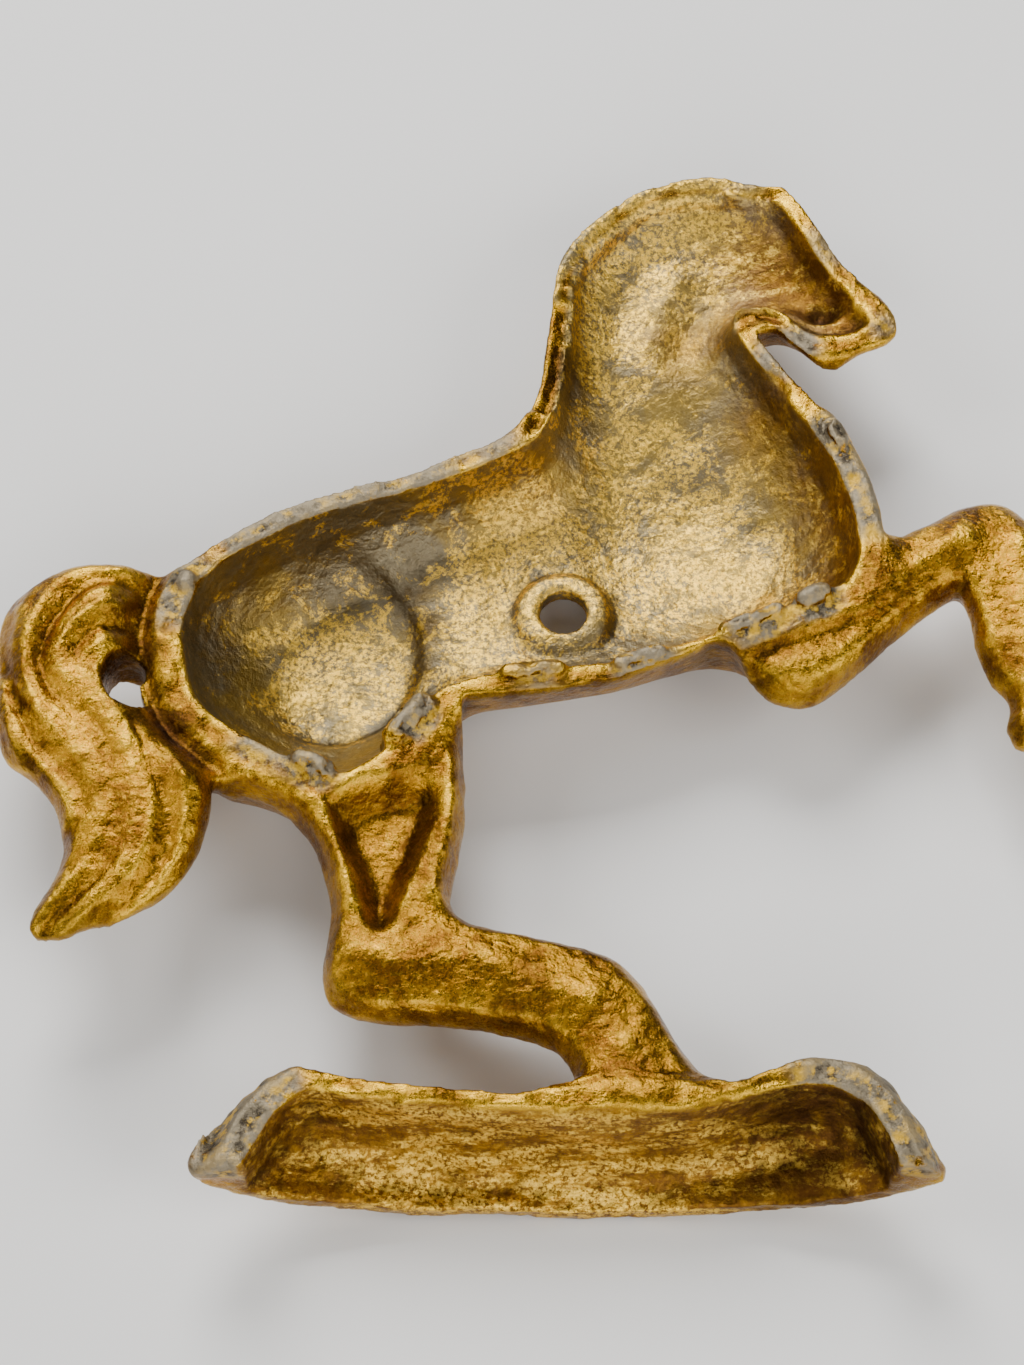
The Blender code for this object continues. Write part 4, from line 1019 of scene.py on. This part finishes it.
def bronze_paint():
    """Worn gold bronze paint over cast iron, dusty inside and bare on the parting face."""
    n = Nodes("bronze paint over cast iron")
    crevice_shade, ridge_highlight_and_wear = n.mask("crevice_shade"), n.mask("ridge_highlight_and_wear")
    hollow, lip = n.mask("hollow"), n.mask("lip")
    fine = n.noise(1100.0, 6.0, 0.72)
    pits = n.noise(330.0, 4.0, 0.6)
    colour = n.mix(hollow, warm_paint(n, crevice_shade, ridge_highlight_and_wear), dusty_paint(n, crevice_shade))
    lip_gold = n.times(lip, n.ramp(n.noise(300.0, 5.0, 0.7), 0.38, 0.60), 0.75)
    colour = n.mix(lip_gold, colour, BRIGHT_GOLD)
    scatter = n.ramp(n.noise(240.0, 5.0, 0.7), 0.24, 0.50)
    bare = n.ramp(n.times(n.mask("bare"), scatter), 0.12, 0.50)
    colour = n.mix(bare, colour, bare_iron(n, ridge_highlight_and_wear))
    rough = n.blend(hollow, n.ramp(fine, 0.3, 0.7, 0.18, 0.34), n.ramp(fine, 0.3, 0.7, 0.32, 0.50))
    n.surface(colour, 0.94, n.blend(bare, rough, 0.56))
    n.bump([(pits, 0.60, 0.0011), (fine, 0.45, 0.0003)])
    return n.material


def steel():
    """Dull aged steel with stains and a fine grain."""
    n = Nodes("aged screw steel")
    stain = n.noise(700.0, 5.0, 0.65)
    colour = n.mix(n.ramp(stain, 0.35, 0.65), DARK_STEEL, LIGHT_STEEL)
    n.surface(colour, 1.0, n.ramp(stain, 0.3, 0.7, 0.30, 0.52))
    n.bump([(n.noise(2400.0, 3.0, 0.6), 0.3, 0.0001)])
    return n.material


SCREW_AXIS = next(j for j in frame["joints"] if j["name"] == "screw_turn")["pos_m"]
THREAD_PITCH = 1.27
THREAD_DEPTH = 0.55
THREAD_STEP = 0.12  # height between rings of the shank
SHANK_RADIUS = 3.15
SCREW_POINT = 0.9
SCREW_SIDES = 40
# Side of the head: share of its radius and height above its underside.
HEAD_SHAPE = [(0.50, 0), (0.74, 0.35), (0.90, 0.95), (0.99, 1.8), (1, 2.3), (0.97, 2.7)]
SLOT_SIZE = (30.0, 1.3, 2.6)


def thread_reach(z, top, share):
    """Radius of the threaded shank at a height and a share of a turn."""
    phase = abs((z / THREAD_PITCH - share) % 1.0 - 0.5) * 2.0
    reach = SHANK_RADIUS - THREAD_DEPTH * (1.0 - ease((phase - 0.15) / 0.7))
    return min(reach, SHANK_RADIUS - SCREW_POINT + max(top - z, 0.0))


def build_screw():
    """A slotted screw with a real thread in place of the plain CAD one."""
    low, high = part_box("screw")
    head_radius = (high.x - low.x) / MM / 2
    bottom, top = low.z / MM, high.z / MM
    seat = bottom + HEAD_SHAPE[-1][1]
    head = [(share * head_radius, bottom + up) for share, up in HEAD_SHAPE]
    shank = [(None, z) for z in np.arange(seat + THREAD_STEP, top, THREAD_STEP)]
    bm = bmesh.new()
    rings = []
    for r, z in [(0.01, bottom)] + head + [(SHANK_RADIUS, seat)] + shank + [(0.01, top)]:
        ring = []
        for k in range(SCREW_SIDES):
            turn = 2 * math.pi * k / SCREW_SIDES
            reach = thread_reach(z, top, k / SCREW_SIDES) if r is None else r
            ring.append(bm.verts.new((reach * math.cos(turn), reach * math.sin(turn), z)))
        rings.append(ring)
    for lower, upper in zip(rings, rings[1:]):
        for k in range(SCREW_SIDES):
            after = (k + 1) % SCREW_SIDES
            bm.faces.new((lower[k], lower[after], upper[after], upper[k]))
    bm.faces.new(rings[0][::-1])
    bm.faces.new(rings[-1])
    cutter = bmesh.new()
    bmesh.ops.create_cube(cutter, size=1.0)
    bmesh.ops.scale(cutter, verts=cutter.verts, vec=SLOT_SIZE)
    bmesh.ops.translate(cutter, verts=cutter.verts, vec=(0.0, 0.0, bottom))
    pair = []
    for name, part in (("threaded_screw", bm), ("slot_cutter", cutter)):
        mesh = bpy.data.meshes.new(name)
        part.to_mesh(mesh)
        part.free()
        pair.append(put(name, mesh))
    screw, cut = pair
    apply_modifier(screw, "BOOLEAN", operation="DIFFERENCE", solver="EXACT", object=cut)
    bpy.data.objects.remove(cut, do_unlink=True)
    for vert in screw.data.vertices:
        vert.co = (vert.co.x * MM + SCREW_AXIS[0], vert.co.y * MM + SCREW_AXIS[1], vert.co.z * MM)
    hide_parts("screw")
    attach(screw, "screw")
    screw.data.materials.append(steel())


# Lights: name, place, size and power. They all aim at one point.
LIGHTS = [("key light", (-0.05, 0.66, 0.76), 0.50, 12.0),
          ("fill light", (0.75, -0.30, 0.55), 0.5, 4.5),
          ("left light", (-0.60, 0.05, 0.60), 0.4, 2.7),
          ("front light", (0.05, -0.85, 0.55), 0.7, 6.5)]
LIGHT_AIM = Vector((0.09, 0.0, 0.0))
FLOOR_GAP = 0.0002
CAMERA_AIM = Vector((0.088, -0.0099, PARTING_HEIGHT * MM))
CAMERA_DISTANCE = 0.5436
CAMERA_ELEVATION = math.radians(60.0)


def floor_and_light():
    """Plain pale floor and soft studio light."""
    floor = put("floor", bpy.data.meshes.new("floor"))
    bm = bmesh.new()
    bmesh.ops.create_grid(bm, x_segments=1, y_segments=1, size=3.0)
    bm.to_mesh(floor.data)
    bm.free()
    n = Nodes("pale floor")
    n.surface((0.80, 0.79, 0.77, 1.0), 0.0, 0.75)
    floor.data.materials.append(n.material)
    floor.location.z = LEFT_LOW.z - FLOOR_GAP
    world = bpy.data.worlds.new("studio")
    world.use_nodes = True
    sky = world.node_tree.nodes["Background"]
    sky.inputs["Color"].default_value = (0.86, 0.86, 0.85, 1.0)
    sky.inputs["Strength"].default_value = 0.09
    bpy.context.scene.world = world
    for name, place, size, power in LIGHTS:
        light = bpy.data.lights.new(name, "AREA")
        light.size = size
        light.energy = power
        lamp = put(name, light)
        lamp.location = place
        lamp.rotation_euler = (LIGHT_AIM - Vector(place)).to_track_quat("-Z", "Y").to_euler()


def camera():
    """A long lens that looks down on the left half from in front of its base."""
    view = bpy.data.cameras.new("camera")
    view.lens = 90.0
    view.sensor_width = 36.0
    obj = put("camera", view)
    back = Vector((0.0, -math.cos(CAMERA_ELEVATION), math.sin(CAMERA_ELEVATION)))
    obj.location = CAMERA_AIM + CAMERA_DISTANCE * back
    obj.rotation_euler = (math.pi / 2 - CAMERA_ELEVATION, 0.0, 0.0)
    bpy.context.scene.camera = obj


def main():
    paint = bronze_paint()
    for name, node, has_tail, side in (("left_casting", "left_half", True, 1),
                                       ("right_casting", "right_half", False, -1)):
        obj = build_half(name, node, has_tail, side)
        obj.data.materials.append(paint)
    build_screw()
    floor_and_light()
    camera()


main()
